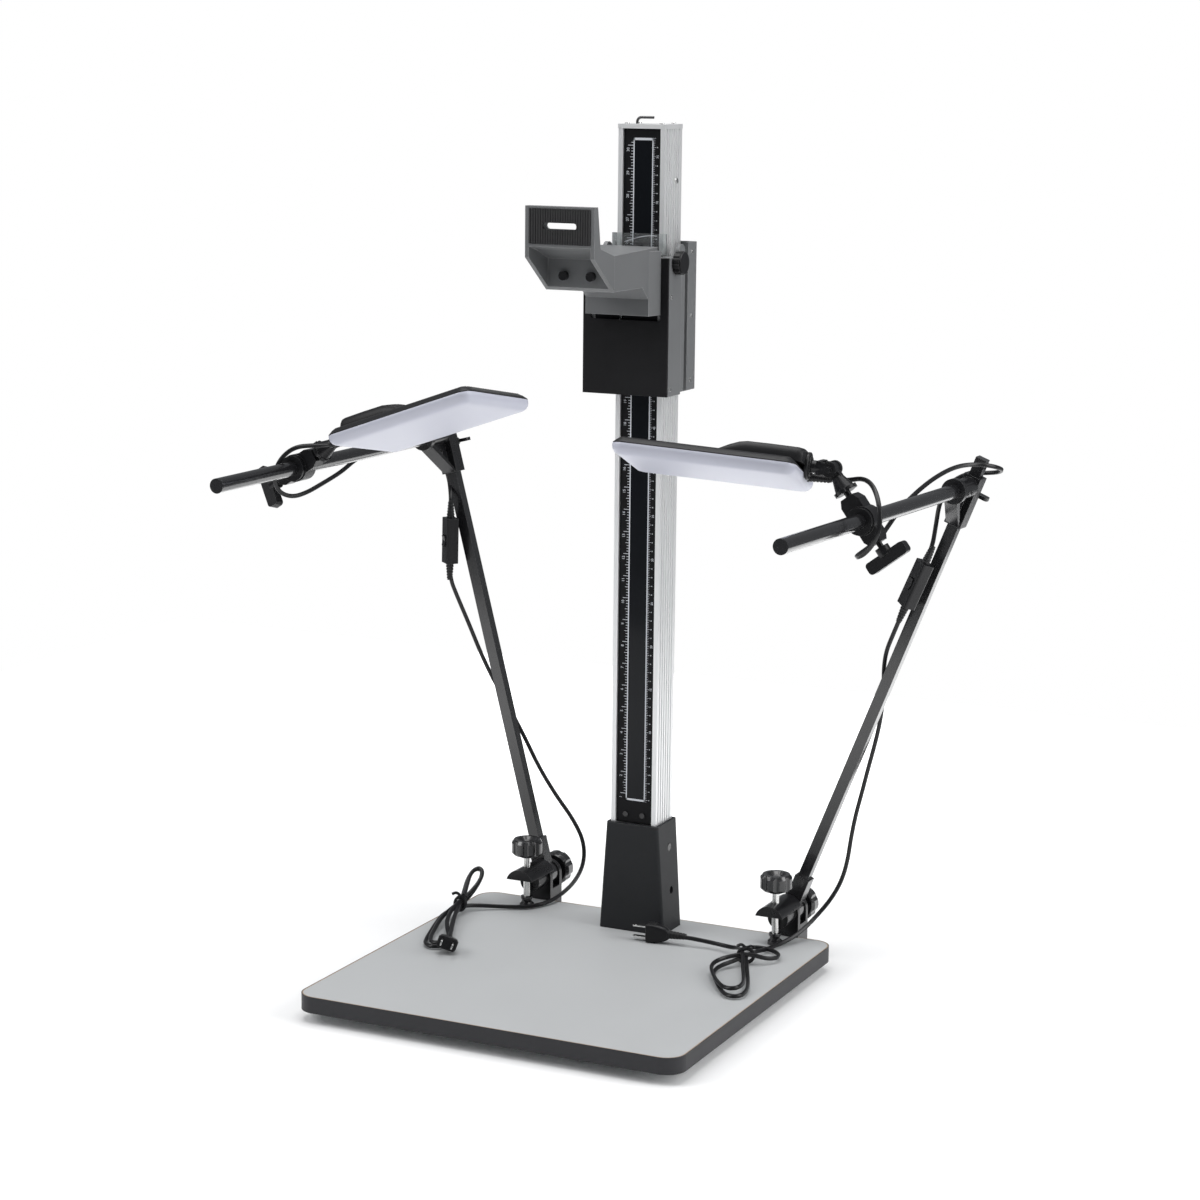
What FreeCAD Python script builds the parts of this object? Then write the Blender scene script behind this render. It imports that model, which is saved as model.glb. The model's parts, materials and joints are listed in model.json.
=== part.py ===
import FreeCAD, Part
import math
import os
import re

import Sketcher

# A copy stand: a grey baseboard with a graduated column, a camera carriage that rolls on it, and two
# panel lights on swing arms that are clamped to the back edge of the board.
# Millimetres. +Z is up, +Y is the back, the origin is the middle of the board's top face. Heights in
# this text count from the floor, and keep() lowers each finished piece to the origin.

V = FreeCAD.Vector
X_AXIS = V(1, 0, 0)
Y_AXIS = V(0, 1, 0)
Z_AXIS = V(0, 0, 1)

SIZES = {
    # board
    "board_wide": 452, "board_deep": 441, "board_thick": 18, "board_corner": 22, "band_thick": 1.2,
    "feet_tall": 12, "feet_rad": 14, "feet_x": 150, "feet_y": 140,
    # column and its foot
    "col_wide": 56.5, "col_deep": 45.7, "col_front": 155.2, "col_top": 947, "col_wall": 4.5,
    "recess_wide": 45.5, "recess_deep": 4, "scale_thick": 1.5, "groove_wide": 2.6, "groove_deep": 1.3,
    "foot_tall": 127.7, "foot_low_wide": 82, "foot_low_deep": 52, "foot_top_wide": 65, "foot_top_deep": 55,
    "cap_tall": 5, "key_rad": 1.5,
    # carriage
    "car_half": 51.3, "car_face": 117.5, "car_low": 657, "car_tall": 152, "plate_thick": 3,
    "side_wall": 4, "inner_half": 42, "rear_face": 203.6, "roller_rad": 18, "knob_rad": 13,
    "knob_y": 139.4, "knob_z": 803, "slot_low": 739.8, "slot_tall": 6.6, "slot_half": 42.5,
    # neck and camera bracket
    "neck_half": 38, "neck_low": 779, "neck_top": 819, "neck_front": 4, "shelf_front": -46,
    "shelf_half": 40.5, "shelf_top": 870, "shelf_bend": 816, "shelf_thick": 8, "pad_low": 830.5,
    "pad_tall": 36.8, "pad_half": 35.8, "cam_slot_half": 19.8, "cam_slot_tall": 6.8, "cam_slot_z": 849.4,
    # board clamps
    "clamp_half": 15.5, "jaw_reach": 56, "jaw_rad": 17.3, "jaw_low": 36.7, "jaw_crown": 49.1,
    "pivot_up": 28, "ear_thick": 6, "spine_thick": 26.5, "screw_in": 35.5, "screw_rad": 4,
    "grip_rad": 18.5, "rear_grip_rad": 20,
    # arms, rods and brackets
    "arm_side": 12.7, "arm_wall": 1.5, "arm_long": 580, "hub_rad": 14, "hub_wide": 17.6,
    "channel_half": 10, "sleeve_rad": 11, "sleeve_long": 41, "rod_rad": 8,
    "rod_wall": 1.5, "rod_long": 480, "collar_rad": 10.5, "reach_to_joint": 61, "stud_rad": 3.5,
    # panel lights
    "lamp_long": 190, "lamp_wide": 118, "lamp_frame": 12.5, "lamp_corner": 12, "lamp_drop": 13,
    "lamp_gap": 26, "tray_deep": 6.5, "box_long": 86, "box_half": 30, "box_tall": 13, "disc_rad": 14,
    # flex
    "flex_rad": 2.25, "gland_in": 10, "gland_out": 24, "gland_side": 20, "gland_drop": 8,
    "switch_long": 54, "switch_turn": 40, "switch_stub": 18, "hank_thick": 15, "plug_tail": 35,
}

doc = FreeCAD.newDocument("CopyStand")
sheet = doc.addObject("Spreadsheet::Sheet", "Sizes")
for row, (alias, number) in enumerate(SIZES.items(), start=1):
    sheet.set("A%d" % row, alias)
    sheet.set("B%d" % row, str(number))
    sheet.setAlias("B%d" % row, alias)
doc.recompute()

WORD = re.compile(r"[a-z][a-z_]+")
finished = []


def size(alias):
    """The number that the sheet holds for an alias."""
    return float(sheet.get(alias))


def bind(target, prop, value):
    """Set a property to a number, or bind it to an expression of the sheet's words."""
    if isinstance(value, str):
        target.setExpression(prop, WORD.sub(lambda found: "Sizes." + found.group(0), value))
    elif prop.startswith("Placement.Base."):
        place = target.Placement
        setattr(place.Base, prop[-1], value)
        target.Placement = place
    else:
        setattr(target, prop, value)


def spot(target, x, y, z, turn=None):
    """Turn an object, then put its corner or centre at x, y, z."""
    if turn:
        target.Placement = FreeCAD.Placement(V(0, 0, 0), turn)
    for letter, value in zip("xyz", (x, y, z)):
        bind(target, "Placement.Base." + letter, value)
    return target


def box(wide, deep, tall, x, y, z):
    """A block with its lowest corner at x, y, z."""
    block = doc.addObject("Part::Box", "Block")
    for prop, value in zip(("Length", "Width", "Height"), (wide, deep, tall)):
        bind(block, prop, value)
    return spot(block, x, y, z)


TURNS = {
    "x": FreeCAD.Rotation(Y_AXIS, 90),
    "y": FreeCAD.Rotation(X_AXIS, -90),
    "z": None,
}


def cyl(radius, long, x, y, z, along="z"):
    """A round bar that starts at x, y, z and runs along one axis."""
    bar = doc.addObject("Part::Cylinder", "Bar")
    bind(bar, "Radius", radius)
    bind(bar, "Height", long)
    return spot(bar, x, y, z, TURNS[along])


def cone(low_radius, high_radius, long, x, y, z, along="z"):
    """A cone that starts at x, y, z with its first radius and runs along one axis."""
    taper = doc.addObject("Part::Cone", "Taper")
    bind(taper, "Radius1", low_radius)
    bind(taper, "Radius2", high_radius)
    bind(taper, "Height", long)
    return spot(taper, x, y, z, TURNS[along])


def fuse(*pieces):
    joined = doc.addObject("Part::MultiFuse", "Joined")
    joined.Shapes = list(pieces)
    joined.Refine = True
    return joined


def group(*pieces):
    """Separate solids that share one node."""
    several = doc.addObject("Part::Compound", "Several")
    several.Links = list(pieces)
    return several


def cut(base, *tools):
    made = doc.addObject("Part::Cut", "Cut")
    made.Base = base
    made.Tool = tools[0] if len(tools) == 1 else fuse(*tools)
    return made


def common(base, tool):
    made = doc.addObject("Part::Common", "Common")
    made.Base = base
    made.Tool = tool
    return made


def prism(plane, points, long, both_ways=True, backwards=False):
    """A body padded from a closed outline of straight sides, each corner bound to the sheet."""
    body = doc.addObject("PartDesign::Body", "Body")
    sketch = body.newObject("Sketcher::SketchObject", "Outline")
    support = [item for item in body.Origin.OriginFeatures if item.Role == plane][0]
    sketch.AttachmentSupport = [(support, "")]
    sketch.MapMode = "FlatFace"
    count = len(points)
    rough = [V(10 * math.cos(2 * math.pi * k / count), 10 * math.sin(2 * math.pi * k / count), 0)
             for k in range(count)]
    for k in range(count):
        sketch.addGeometry(Part.LineSegment(rough[k], rough[(k + 1) % count]), False)
    for k in range(count):
        sketch.addConstraint(Sketcher.Constraint("Coincident", k, 2, (k + 1) % count, 1))
    for k, corner in enumerate(points):
        for kind, start, value in zip(("DistanceX", "DistanceY"), rough[k], corner):
            text = value if isinstance(value, str) else "%g" % value
            number = sketch.addConstraint(Sketcher.Constraint(kind, -1, 1, k, 1, start))
            bind(sketch, "Constraints[%d]" % number, text)
    pad = body.newObject("PartDesign::Pad", "Pad")
    pad.Profile = sketch
    bind(pad, "Length", long)
    pad.Midplane = both_ways
    pad.Reversed = backwards
    body.Tip = pad
    doc.recompute()
    return body


def spin(points):
    """A body turned about Z from a half outline of radius and height."""
    body = doc.addObject("PartDesign::Body", "Body")
    sketch = body.newObject("Sketcher::SketchObject", "Outline")
    support = [item for item in body.Origin.OriginFeatures if item.Role == "XZ_Plane"][0]
    sketch.AttachmentSupport = [(support, "")]
    sketch.MapMode = "FlatFace"
    count = len(points)
    for k in range(count):
        first = V(*points[k], 0)
        second = V(*points[(k + 1) % count], 0)
        sketch.addGeometry(Part.LineSegment(first, second), False)
        if k:
            sketch.addConstraint(Sketcher.Constraint("Coincident", k - 1, 2, k, 1))
    sketch.addConstraint(Sketcher.Constraint("Coincident", count - 1, 2, 0, 1))
    turned = body.newObject("PartDesign::Revolution", "Turned")
    turned.Profile = sketch
    turned.ReferenceAxis = (sketch, ["V_Axis"])
    turned.Angle = 360
    body.Tip = turned
    doc.recompute()
    return body


def round_edges(base, radius, wanted):
    """Fillet the edges of a piece for which wanted(edge) is true."""
    doc.recompute()
    rounded = doc.addObject("Part::Fillet", "Rounded")
    rounded.Base = base
    rounded.Edges = [(k, radius, radius) for k, edge in enumerate(base.Shape.Edges, start=1) if wanted(edge)]
    return rounded


def upright(edge):
    first, last = edge.Vertexes[0].Point, edge.Vertexes[-1].Point
    return abs(first.z - last.z) > 1 and abs(first.x - last.x) < 0.01 and abs(first.y - last.y) < 0.01


def keep(piece, node, place=FreeCAD.Placement()):
    """Name a finished piece, put it where it belongs and lower it so that the board's top is at zero."""
    placed = group(piece)
    placed.Label = node
    placed.Placement = shift(0, 0, -size("feet_tall") - size("board_thick")).multiply(place)
    finished.append(placed)


def shift(x, y, z):
    return FreeCAD.Placement(V(x, y, z), FreeCAD.Rotation())


# ---------------------------------------------------------------- baseboard


def rounded_board(wide, deep, corner):
    slab = box(wide, deep, "board_thick", "-(" + wide + ") / 2", "-(" + deep + ") / 2", "feet_tall")
    return round_edges(slab, corner, upright)


def make_board():
    inner_wide = "board_wide - 2 * band_thick"
    inner_deep = "board_deep - 2 * band_thick"
    inner_corner = size("board_corner") - size("band_thick")
    bolts = [cyl(3.2, "board_thick", x, y, "feet_tall") for x in (-30, 30) for y in (163, 193)]
    keep(cut(rounded_board(inner_wide, inner_deep, inner_corner), *bolts), "baseboard")
    band = cut(rounded_board("board_wide", "board_deep", size("board_corner")),
               rounded_board(inner_wide, inner_deep, inner_corner))
    keep(band, "edge_band")
    feet = [cone("feet_rad - 2", "feet_rad", "feet_tall", side + "feet_x", end + "feet_y", 0)
            for side in ("", "-") for end in ("", "-")]
    keep(group(*feet), "rubber_feet")


# ---------------------------------------------------------------- column

BOARD_TOP = "feet_tall + board_thick"
COLUMN_LOW = 38
KEY_X = -12


def make_column():
    column_long = "col_top - %d" % COLUMN_LOW
    profile = box("col_wide", "col_deep", column_long, "-col_wide / 2", "col_front", COLUMN_LOW)
    core = box("col_wide - 2 * col_wall", "col_deep - recess_deep - 2 * col_wall", column_long,
               "-col_wide / 2 + col_wall", "col_front + recess_deep + col_wall", COLUMN_LOW)
    recess = box("recess_wide", "recess_deep", column_long, "-recess_wide / 2", "col_front", COLUMN_LOW)
    grooves = []
    for k in range(6):
        back = "col_front + 5 + %g" % (6.2 * k)
        grooves.append(box("groove_deep", "groove_wide", column_long, "-col_wide / 2", back, COLUMN_LOW))
        grooves.append(box("groove_deep", "groove_wide", column_long, "col_wide / 2 - groove_deep", back,
                           COLUMN_LOW))
    keep(cut(profile, core, recess, *grooves), "column")
    plate_low = "feet_tall + board_thick + foot_tall"
    plate = box("recess_wide - 0.5", "scale_thick", "col_top - (" + plate_low + ")",
                "-(recess_wide - 0.5) / 2", "col_front + recess_deep - scale_thick", plate_low)
    keep(plate, "scale_plate")
    cap = box("col_wide + 1", "col_deep + 1", "cap_tall", "-(col_wide + 1) / 2", "col_front - 0.5", "col_top")
    key_hole = cyl("key_rad + 0.1", "cap_tall", KEY_X, "col_front + 14", "col_top")
    keep(cut(cap, key_hole), "column_cap")


def make_column_foot():
    # Four-sided taper with a square socket that the column stands in.
    taper = doc.addObject("Part::Wedge", "FootTaper")
    low, top = "foot_low_wide / 2", "foot_top_wide / 2"
    limits = {"Xmin": "-" + low, "Xmax": low, "X2min": "-" + top, "X2max": top, "Ymin": "0",
              "Ymax": "foot_tall", "Zmin": "-foot_low_deep / 2", "Zmax": "foot_low_deep / 2",
              "Z2min": "-foot_top_deep / 2", "Z2max": "foot_top_deep / 2"}
    for prop, value in limits.items():
        bind(taper, prop, value)
    spot(taper, 0, "col_front + col_deep / 2", BOARD_TOP, FreeCAD.Rotation(X_AXIS, 90))
    doc.recompute()
    rounded = round_edges(taper, 4, lambda edge: abs(edge.tangentAt(edge.FirstParameter).z) > 0.9)
    socket = box("col_wide + 0.6", "col_deep + 0.6", "foot_tall", "-(col_wide + 0.6) / 2", "col_front - 0.3",
                 COLUMN_LOW)
    threads = [cyl(3.2, 9, x, y, 29) for x in (-30, 30) for y in (163, 193)]
    pockets = [cyl(4.6, 30, side * 29 - 15, 181, z, "x") for side in (-1, 1) for z in (77, 128)]
    keep(cut(rounded, socket, *threads, *pockets), "column_foot")


def make_hex_key():
    # The long leg hangs in the hollow column, the short leg lies on the cap.
    bend = 5
    leg_down, leg_across = 60, 15
    level = "col_top + cap_tall + 2"
    down = cyl("key_rad", leg_down, KEY_X, "col_front + 14", "col_top + cap_tall + 2 - %d" % leg_down)
    corner = doc.addObject("Part::Torus", "Bend")
    corner.Radius1 = bend
    bind(corner, "Radius2", "key_rad")
    corner.Angle3 = 90
    spot_turn = FreeCAD.Rotation(X_AXIS, 90).multiply(FreeCAD.Rotation(Z_AXIS, 90))
    spot(corner, KEY_X + bend, "col_front + 14", level, spot_turn)
    across = cyl("key_rad", leg_across, KEY_X + bend, "col_front + 14", level + " + %d" % bend, "x")
    keep(fuse(down, corner, across), "hex_key")


def screw_head(radius, tall, x, y, z, along, outwards):
    """A low round head that stands out from a face along plus or minus one axis."""
    if outwards > 0:
        return cyl(radius, tall, x, y, z, along)
    start = {"x": (-tall, 0, 0), "y": (0, -tall, 0), "z": (0, 0, -tall)}[along]
    return cyl(radius, tall, x + start[0], y + start[1], z + start[2], along)


def make_stand_screws():
    front = size("col_front") + size("recess_deep") - size("scale_thick")
    side = size("col_wide") / 2
    cap = size("col_top") + size("cap_tall")
    heads = [screw_head(3.2, 1.8, x, front, 168, "y", -1) for x in (-10.5, 10.5)]
    heads += [screw_head(2.6, 1.2, x, y, cap, "z", 1) for x in (-21, 21) for y in (162, 194)]
    heads += [screw_head(3, 1.6, way * side, 186, 890, "x", way) for way in (-1, 1)]
    heads += [cyl(4.4, 6, way * 31.6 - 3, 181, z, "x") for way in (-1, 1) for z in (77, 128)]
    bolts = [fuse(cyl(3, 23.5, x, y, 14), cyl(5.5, 3.8, x, y, 8.2), cyl(3, 4, x, y, 11))
             for x in (-30, 30) for y in (163, 193)]
    keep(group(*heads, *bolts), "stand_screws")


# ---------------------------------------------------------------- carriage


def make_carriage():
    half, face, low, tall = "car_half", "car_face + plate_thick", "car_low", "car_tall"
    sides = [box("side_wall", 33.4, tall, "-car_half", face, low),
             box("side_wall", 33.4, tall, "car_half - side_wall", face, low)]
    inner = [box(4, "rear_face - (" + face + ")", tall, "-inner_half", face, low),
             box(4, "rear_face - (" + face + ")", tall, "inner_half - 4", face, low)]
    ribs = [box("2 * car_half", 4, 12, "-car_half", face, z) for z in (657, 770, 797)]
    ties = [box(8, 24, 4, x, face, z) for x in (-49.3, 41.3) for z in (657, 805)]
    shell = fuse(*sides, *inner, *ribs, *ties)
    shaft_hole = cyl(4.06, "2 * car_half + 2", "-car_half - 1", "knob_y", "knob_z", "x")
    roller_room = cyl("roller_rad + 1", 24, -12, "knob_y", "knob_z", "x")
    keep(cut(shell, shaft_hole, roller_room), "carriage_body")

    plate = box("2 * " + half, "plate_thick", tall, "-" + half, "car_face", low)
    slot = box("2 * slot_half - slot_tall", "plate_thick", "slot_tall", "-slot_half + slot_tall / 2",
               "car_face", "slot_low")
    ends = [cyl("slot_tall / 2", "plate_thick", x, "car_face", "slot_low + slot_tall / 2", "y")
            for x in ("-slot_half + slot_tall / 2", "slot_half - slot_tall / 2")]
    keep(cut(plate, slot, *ends), "front_plate")

    back = box(91, 3, 165, -45.5, "rear_face", 658)
    strips = [box(3.2, 19.4, 165, x, "rear_face - 19.4", 658) for x in (42.1, -45.3)]
    bars = [fuse(box(4.6, 17, 146, x, 155.5, 667.5), cyl(8.5, 4.6, x, 164, 667.5, "x"),
                 cyl(8.5, 4.6, x, 164, 813.5, "x")) for x in (42.1, -46.7)]
    keep(group(fuse(back, *strips), *bars), "rear_channel")

    column_half = size("col_wide") / 2
    column_back = size("col_front") + size("col_deep")
    pads = []
    for z in (660, 790):
        for way in (-1, 1):
            inside = way * (column_half + 0.25)
            outside = way * (size("inner_half") - 4)
            pads.append(box(abs(outside - inside), 24, 16, min(inside, outside), 166, z))
            pads.append(box(5, size("col_front") - 0.3 - 124.6, 10, way * 25.5 - 2.5, 124.6, z - 2))
            pads.append(box(10, size("rear_face") - column_back - 0.3, 16, way * 18 - 5, column_back + 0.3,
                            z))
    keep(group(*pads), "glide_pads")


def make_drive_knob():
    # The shaft crosses the carriage; its rubber roller bears on the middle strip of the scale plate.
    half = size("car_half")
    shaft = cyl(4, half + 20, -18, "knob_y", "knob_z", "x")
    roller = cyl("roller_rad", 16, -8, "knob_y", "knob_z", "x")
    disc = cyl("knob_rad", 7.4, half + 0.4, "knob_y", "knob_z", "x")
    flutes = []
    for k in range(12):
        angle = 2 * math.pi * k / 12
        away = size("knob_rad") + 0.9
        flutes.append(cyl(2, 7.4, half + 0.4, size("knob_y") + away * math.cos(angle),
                          size("knob_z") + away * math.sin(angle), "x"))
    face = cyl("knob_rad - 1.2", 2.2, half + 7.8, "knob_y", "knob_z", "x")
    keep(fuse(shaft, roller, cut(disc, *flutes), face), "drive_knob")


def make_neck():
    # Side view: flat underside, then a gusset that runs down to the front plate.
    side_view = [("neck_front", "neck_low"), ("neck_front", "neck_top - 2"), ("car_face", "neck_top + 2"),
                 ("car_face", "slot_low + slot_tall + 0.5"), ("car_face - 38", "neck_low")]
    block = prism("YZ_Plane", side_view, "2 * neck_half")
    root = prism("XY_Plane", [("-neck_half", "car_face - 22"), ("-neck_half - 4.5", "car_face"),
                              ("neck_half + 4.5", "car_face"), ("neck_half", "car_face - 22")],
                 70, both_ways=False)
    spot(root, 0, 0, "slot_low + slot_tall + 0.5")
    trimmed = common(root, box(90, 22, 90, -45, "car_face - 22", 745))
    hollow = box("2 * neck_half - 10", 90, 26, "-neck_half + 5", 14, "neck_low + 6")
    bores = [cyl(3.1, 14, x, "neck_front - 1", 795, "y") for x in (-16, 16)]
    keep(cut(fuse(block, trimmed), hollow, *bores), "neck")


def make_camera_bracket():
    half = "shelf_half"
    side_view = [("shelf_front", "shelf_bend"), ("shelf_front", "shelf_top"),
                 ("shelf_front + shelf_thick", "shelf_top"), ("shelf_front + 15", "pad_low - 4"),
                 ("neck_front", "neck_top - 2"), ("neck_front", "neck_low")]
    block = prism("YZ_Plane", side_view, "2 * " + half)
    hollow_view = [("shelf_front - 1", "pad_low - 3"), ("shelf_front + 17", "pad_low - 7"),
                   ("neck_front - 5", "neck_top - 6"), ("neck_front - 5", "neck_low - 4"),
                   ("shelf_front - 1", "shelf_bend - 9")]
    hollow = prism("YZ_Plane", hollow_view, "2 * shelf_half - 9")
    seat = box("2 * pad_half + 0.4", 2, "pad_tall + 0.4", "-pad_half - 0.2", "shelf_front", "pad_low - 0.2")
    bolts = [cyl(3.2, 20, x, "neck_front - 12", 795, "y") for x in (-16, 16)]
    keep(cut(block, hollow, seat, camera_slot(20), *bolts), "camera_bracket")
    pad = box("2 * pad_half", 3, "pad_tall", "-pad_half", "shelf_front - 1", "pad_low")
    furrows = [box(1.1, 0.8, "pad_tall", -34 + 2.9 * k, "shelf_front - 1", "pad_low") for k in range(24)]
    keep(cut(pad, camera_slot(20), *furrows), "camera_pad")


def camera_slot(deep):
    """The slot for the camera's screw, as a tool that is cut from the bracket and its pad."""
    middle = box("2 * cam_slot_half - cam_slot_tall", deep, "cam_slot_tall",
                 "-cam_slot_half + cam_slot_tall / 2", "shelf_front - 5", "cam_slot_z - cam_slot_tall / 2")
    ends = [cyl("cam_slot_tall / 2", deep, x, "shelf_front - 5", "cam_slot_z", "y")
            for x in ("-cam_slot_half + cam_slot_tall / 2", "cam_slot_half - cam_slot_tall / 2")]
    return fuse(middle, *ends)


def make_cursor():
    # A clear plate that carries the index line, held in front of the scale by a foot on the neck root.
    upright_sheet = box(66, 1.5, 24, -33, 151.5, 809)
    foot = box(66, 24, 1.5, -33, 127.5, 809)
    roller_window = box(20, 30, 8.5, -10, 127, 808.5)
    keep(cut(fuse(upright_sheet, foot), roller_window), "cursor")


def make_carriage_screws():
    half = size("car_half")
    heads = [screw_head(2.6, 1, way * half, 126, z, "x", way) for way in (-1, 1) for z in (766, 665)]
    heads += [screw_head(2.6, 1, way * 45.3, 194, z, "x", way) for way in (-1, 1) for z in (669, 741, 812)]
    hidden = size("neck_front") - 5
    heads += [fuse(cyl(3, 14, x, hidden, 795, "y"), cyl(5, 5, x, hidden - 5, 795, "y")) for x in (-16, 16)]
    keep(group(*heads), "carriage_screws")


# ---------------------------------------------------------------- clamps on the back edge

# Frame of a clamp: origin on the board's top at its back edge, under the arm's pivot.


def lobed_grip(radius, thick, lobes):
    """A round hand grip with scalloped sides and a dished top, from z = 0 up."""
    blank = spin([(0, 0), (radius - 3, 0), (radius, 3), (radius, thick - 4), (radius - 3, thick),
                  (radius - 7, thick), (radius - 10, thick - 3), (0, thick - 3)])
    scallops = []
    for k in range(lobes):
        angle = 2 * math.pi * (k + 0.5) / lobes
        away = radius + 2.6
        scallops.append(cyl(4.6, thick, away * math.cos(angle), away * math.sin(angle), 0))
    return cut(blank, *scallops)


def clamp_casting():
    half, reach = "clamp_half", "jaw_reach"
    lower_jaw = box("2 * clamp_half", "jaw_reach + spine_thick", 8, "-" + half, "-" + reach,
                    "-board_thick - 8")
    spine = box("2 * clamp_half", "spine_thick - 0.3", "board_thick + 8 + 14", "-" + half, 0.3,
                "-board_thick - 8")
    bar = common(cyl("jaw_rad", "jaw_reach + 2.4", 0, "-" + reach, "jaw_crown - jaw_rad", "y"),
                 box(60, 80, 40, -30, -60, "jaw_low"))
    ears = []
    for back in ("2.4 - ear_thick", "spine_thick - ear_thick"):
        ears.append(box("2 * clamp_half", "ear_thick", "pivot_up - 0.4", "-" + half, back, 0.4))
        ears.append(cyl(half, "ear_thick", 0, back, "pivot_up", "y"))
    barrel = cyl(12.5, 30.2, 0, -28.2, "pivot_up", "y")
    pivot_bore = cyl(4.06, 36, 0, -4.6, "pivot_up", "y")
    screw_bore = cyl("screw_rad + 0.06", 20, 0, "-screw_in", "jaw_low - 3")
    return cut(fuse(lower_jaw, spine, bar, barrel, *ears), pivot_bore, screw_bore)


def clamp_screw():
    # Swivel pad, screw and hand grip, turned up or down through the jaw.
    foot = spin([(0, 0.1), (8.6, 0.1), (8.6, 4), (6, 6.5), (6, 9), (7, 10), (7, 13), (4, 13.5), (4, 61),
                 (8, 61), (8, 64.5), (0, 64.5)])
    grip = lobed_grip(size("grip_rad"), 19, 8)
    spot(grip, 0, 0, 64)
    return fuse(foot, grip)


def pivot_bolt():
    bolt = cyl(4, 31.4, 0, -4.3, 0, "y")
    neck = cyl(10, 8, 0, "spine_thick + 0.3", 0, "y")
    grip = lobed_grip(size("rear_grip_rad"), 18, 7)
    grip.Placement = FreeCAD.Placement(V(0, size("spine_thick") + 8, 0), TURNS["y"])
    return fuse(bolt, neck, grip)


# ---------------------------------------------------------------- arm, bracket and rod

# Frame of an arm: origin on its pivot, Z along the arm, Y to the back.


def swing_arm():
    # Square tube in a forked socket whose hub turns on the pivot bolt, closed by a plug at the top.
    socket = fuse(cyl("hub_rad", "hub_wide", 0, "-hub_wide / 2", 0, "y"),
                  box(18, "hub_wide", 45, -9, "-hub_wide / 2", 0))
    bore = box("arm_side", "arm_side", 40, "-arm_side / 2", "-arm_side / 2", 14)
    socket = cut(socket, bore, cyl(4.06, 30, 0, -15, 0, "y"))
    inner = "arm_side - 2 * arm_wall"
    tube = cut(box("arm_side", "arm_side", "arm_long - 15", "-arm_side / 2", "-arm_side / 2", 14),
               box(inner, inner, "arm_long", "-(" + inner + ") / 2", "-(" + inner + ") / 2", 13))
    plug = fuse(box("arm_side", "arm_side", 1.5, "-arm_side / 2", "-arm_side / 2", "arm_long - 1"),
                box("arm_side - 3.2", "arm_side - 3.2", 8, "-arm_side / 2 + 1.6", "-arm_side / 2 + 1.6",
                    "arm_long - 9"))
    return group(socket, tube, plug)


# Frame of a bracket: origin where the rod's axis crosses the arm's axis, rod along -Y.


def rod_bracket():
    channel = cut(box("2 * channel_half", "2 * channel_half", 60, "-channel_half", "-channel_half", -47),
                  box("arm_side + 0.6", "arm_side + 0.6", 70, "-arm_side / 2 - 0.3", "-arm_side / 2 - 0.3",
                      -50))
    front = "-channel_half - sleeve_long"
    sleeve = cyl("sleeve_rad", "sleeve_long + 2", 0, front, 0, "y")
    ring = cyl(14, 7, 0, front + " - 5", 0, "y")
    web = prism("YZ_Plane", [("-channel_half + 1", -45), ("-channel_half + 1", -6), (front + " + 4", -6),
                             (front + " + 4", -12)], 4)
    flange = prism("YZ_Plane", [("-channel_half + 1", -47), ("-channel_half + 1", -43.5),
                                (front + " + 5", -8), (front + " + 1", -8), (front + " + 1", -13)], 16)
    boss = cyl(7, 5, 0, "channel_half - 0.5", -12, "y")
    window = spot(doc.addObject("Part::Cylinder", "Window"), -3, "-channel_half - 12", -20, TURNS["x"])
    window.Radius = 3.4
    window.Height = 6
    studs = [cyl(2.4, 3, "sleeve_rad - 2", y, 0, "x") for y in (-24, -36)]
    rod_bore = cyl("rod_rad + 0.05", "sleeve_long + 6", 0, front + " - 6", 0, "y")
    screw_bore = cyl(3.06, 12, 0, "arm_side / 2", -12, "y")
    return cut(fuse(channel, sleeve, ring, web, flange, boss, *studs), rod_bore, screw_bore, window)


def wing_screw():
    shank = cyl(3, 16, 0, "arm_side / 2 + 0.3", -12, "y")
    hub = cone(6.5, 5, 9, 0, "channel_half + 4.8", -12, "y")
    wings = box(34, 11, 4, -17, "channel_half + 9", -14)
    rounded = round_edges(wings, 3.5, lambda edge: abs(edge.tangentAt(edge.FirstParameter).z) > 0.9)
    return fuse(shank, hub, rounded)


def light_rod(out):
    front = "-channel_half - rod_long - %d" % out
    tube = cut(cyl("rod_rad", "rod_long", 0, front, 0, "y"),
               cyl("rod_rad - rod_wall", "rod_long + 2", 0, front + " - 1", 0, "y"))
    cap = fuse(cyl("rod_rad", 2, 0, front + " - 2", 0, "y"),
               cyl("rod_rad - rod_wall - 0.05", 8, 0, front + " - 1", 0, "y"))
    return group(tube, cap)


# ---------------------------------------------------------------- clamp on the rod and its swivel

# Frame of a rod clamp: origin on the rod's axis, Y along the rod, Z towards the light.


def rod_collar():
    sleeve = fuse(cyl("collar_rad", 30, 0, -15, 0, "y"), cyl(14, 4.5, 0, -15, 0, "y"))
    return cut(sleeve, cyl("rod_rad + 0.05", 40, 0, -20, 0, "y"))


def lamp_clamp():
    ring = cyl(15, 21, 0, -10.2, 0, "y")
    head = prism("XZ_Plane", [(-11, 6), (-11, 21), (-7, 28), (7, 28), (11, 21), (11, 6)], 18)
    heel = prism("XZ_Plane", [(-10, -6), (-10, -20), (-6, -27), (6, -27), (10, -20), (10, -6)], 18)
    bore = cyl("collar_rad + 0.06", 40, 0, -20, 0, "y")
    stud_bore = cyl("stud_rad + 0.05", 14, 0, 0, 15.5)
    screw_bore = cyl(3.06, 16, 0, 0, -28)
    return cut(fuse(ring, head, heel), bore, stud_bore, screw_bore)


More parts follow.
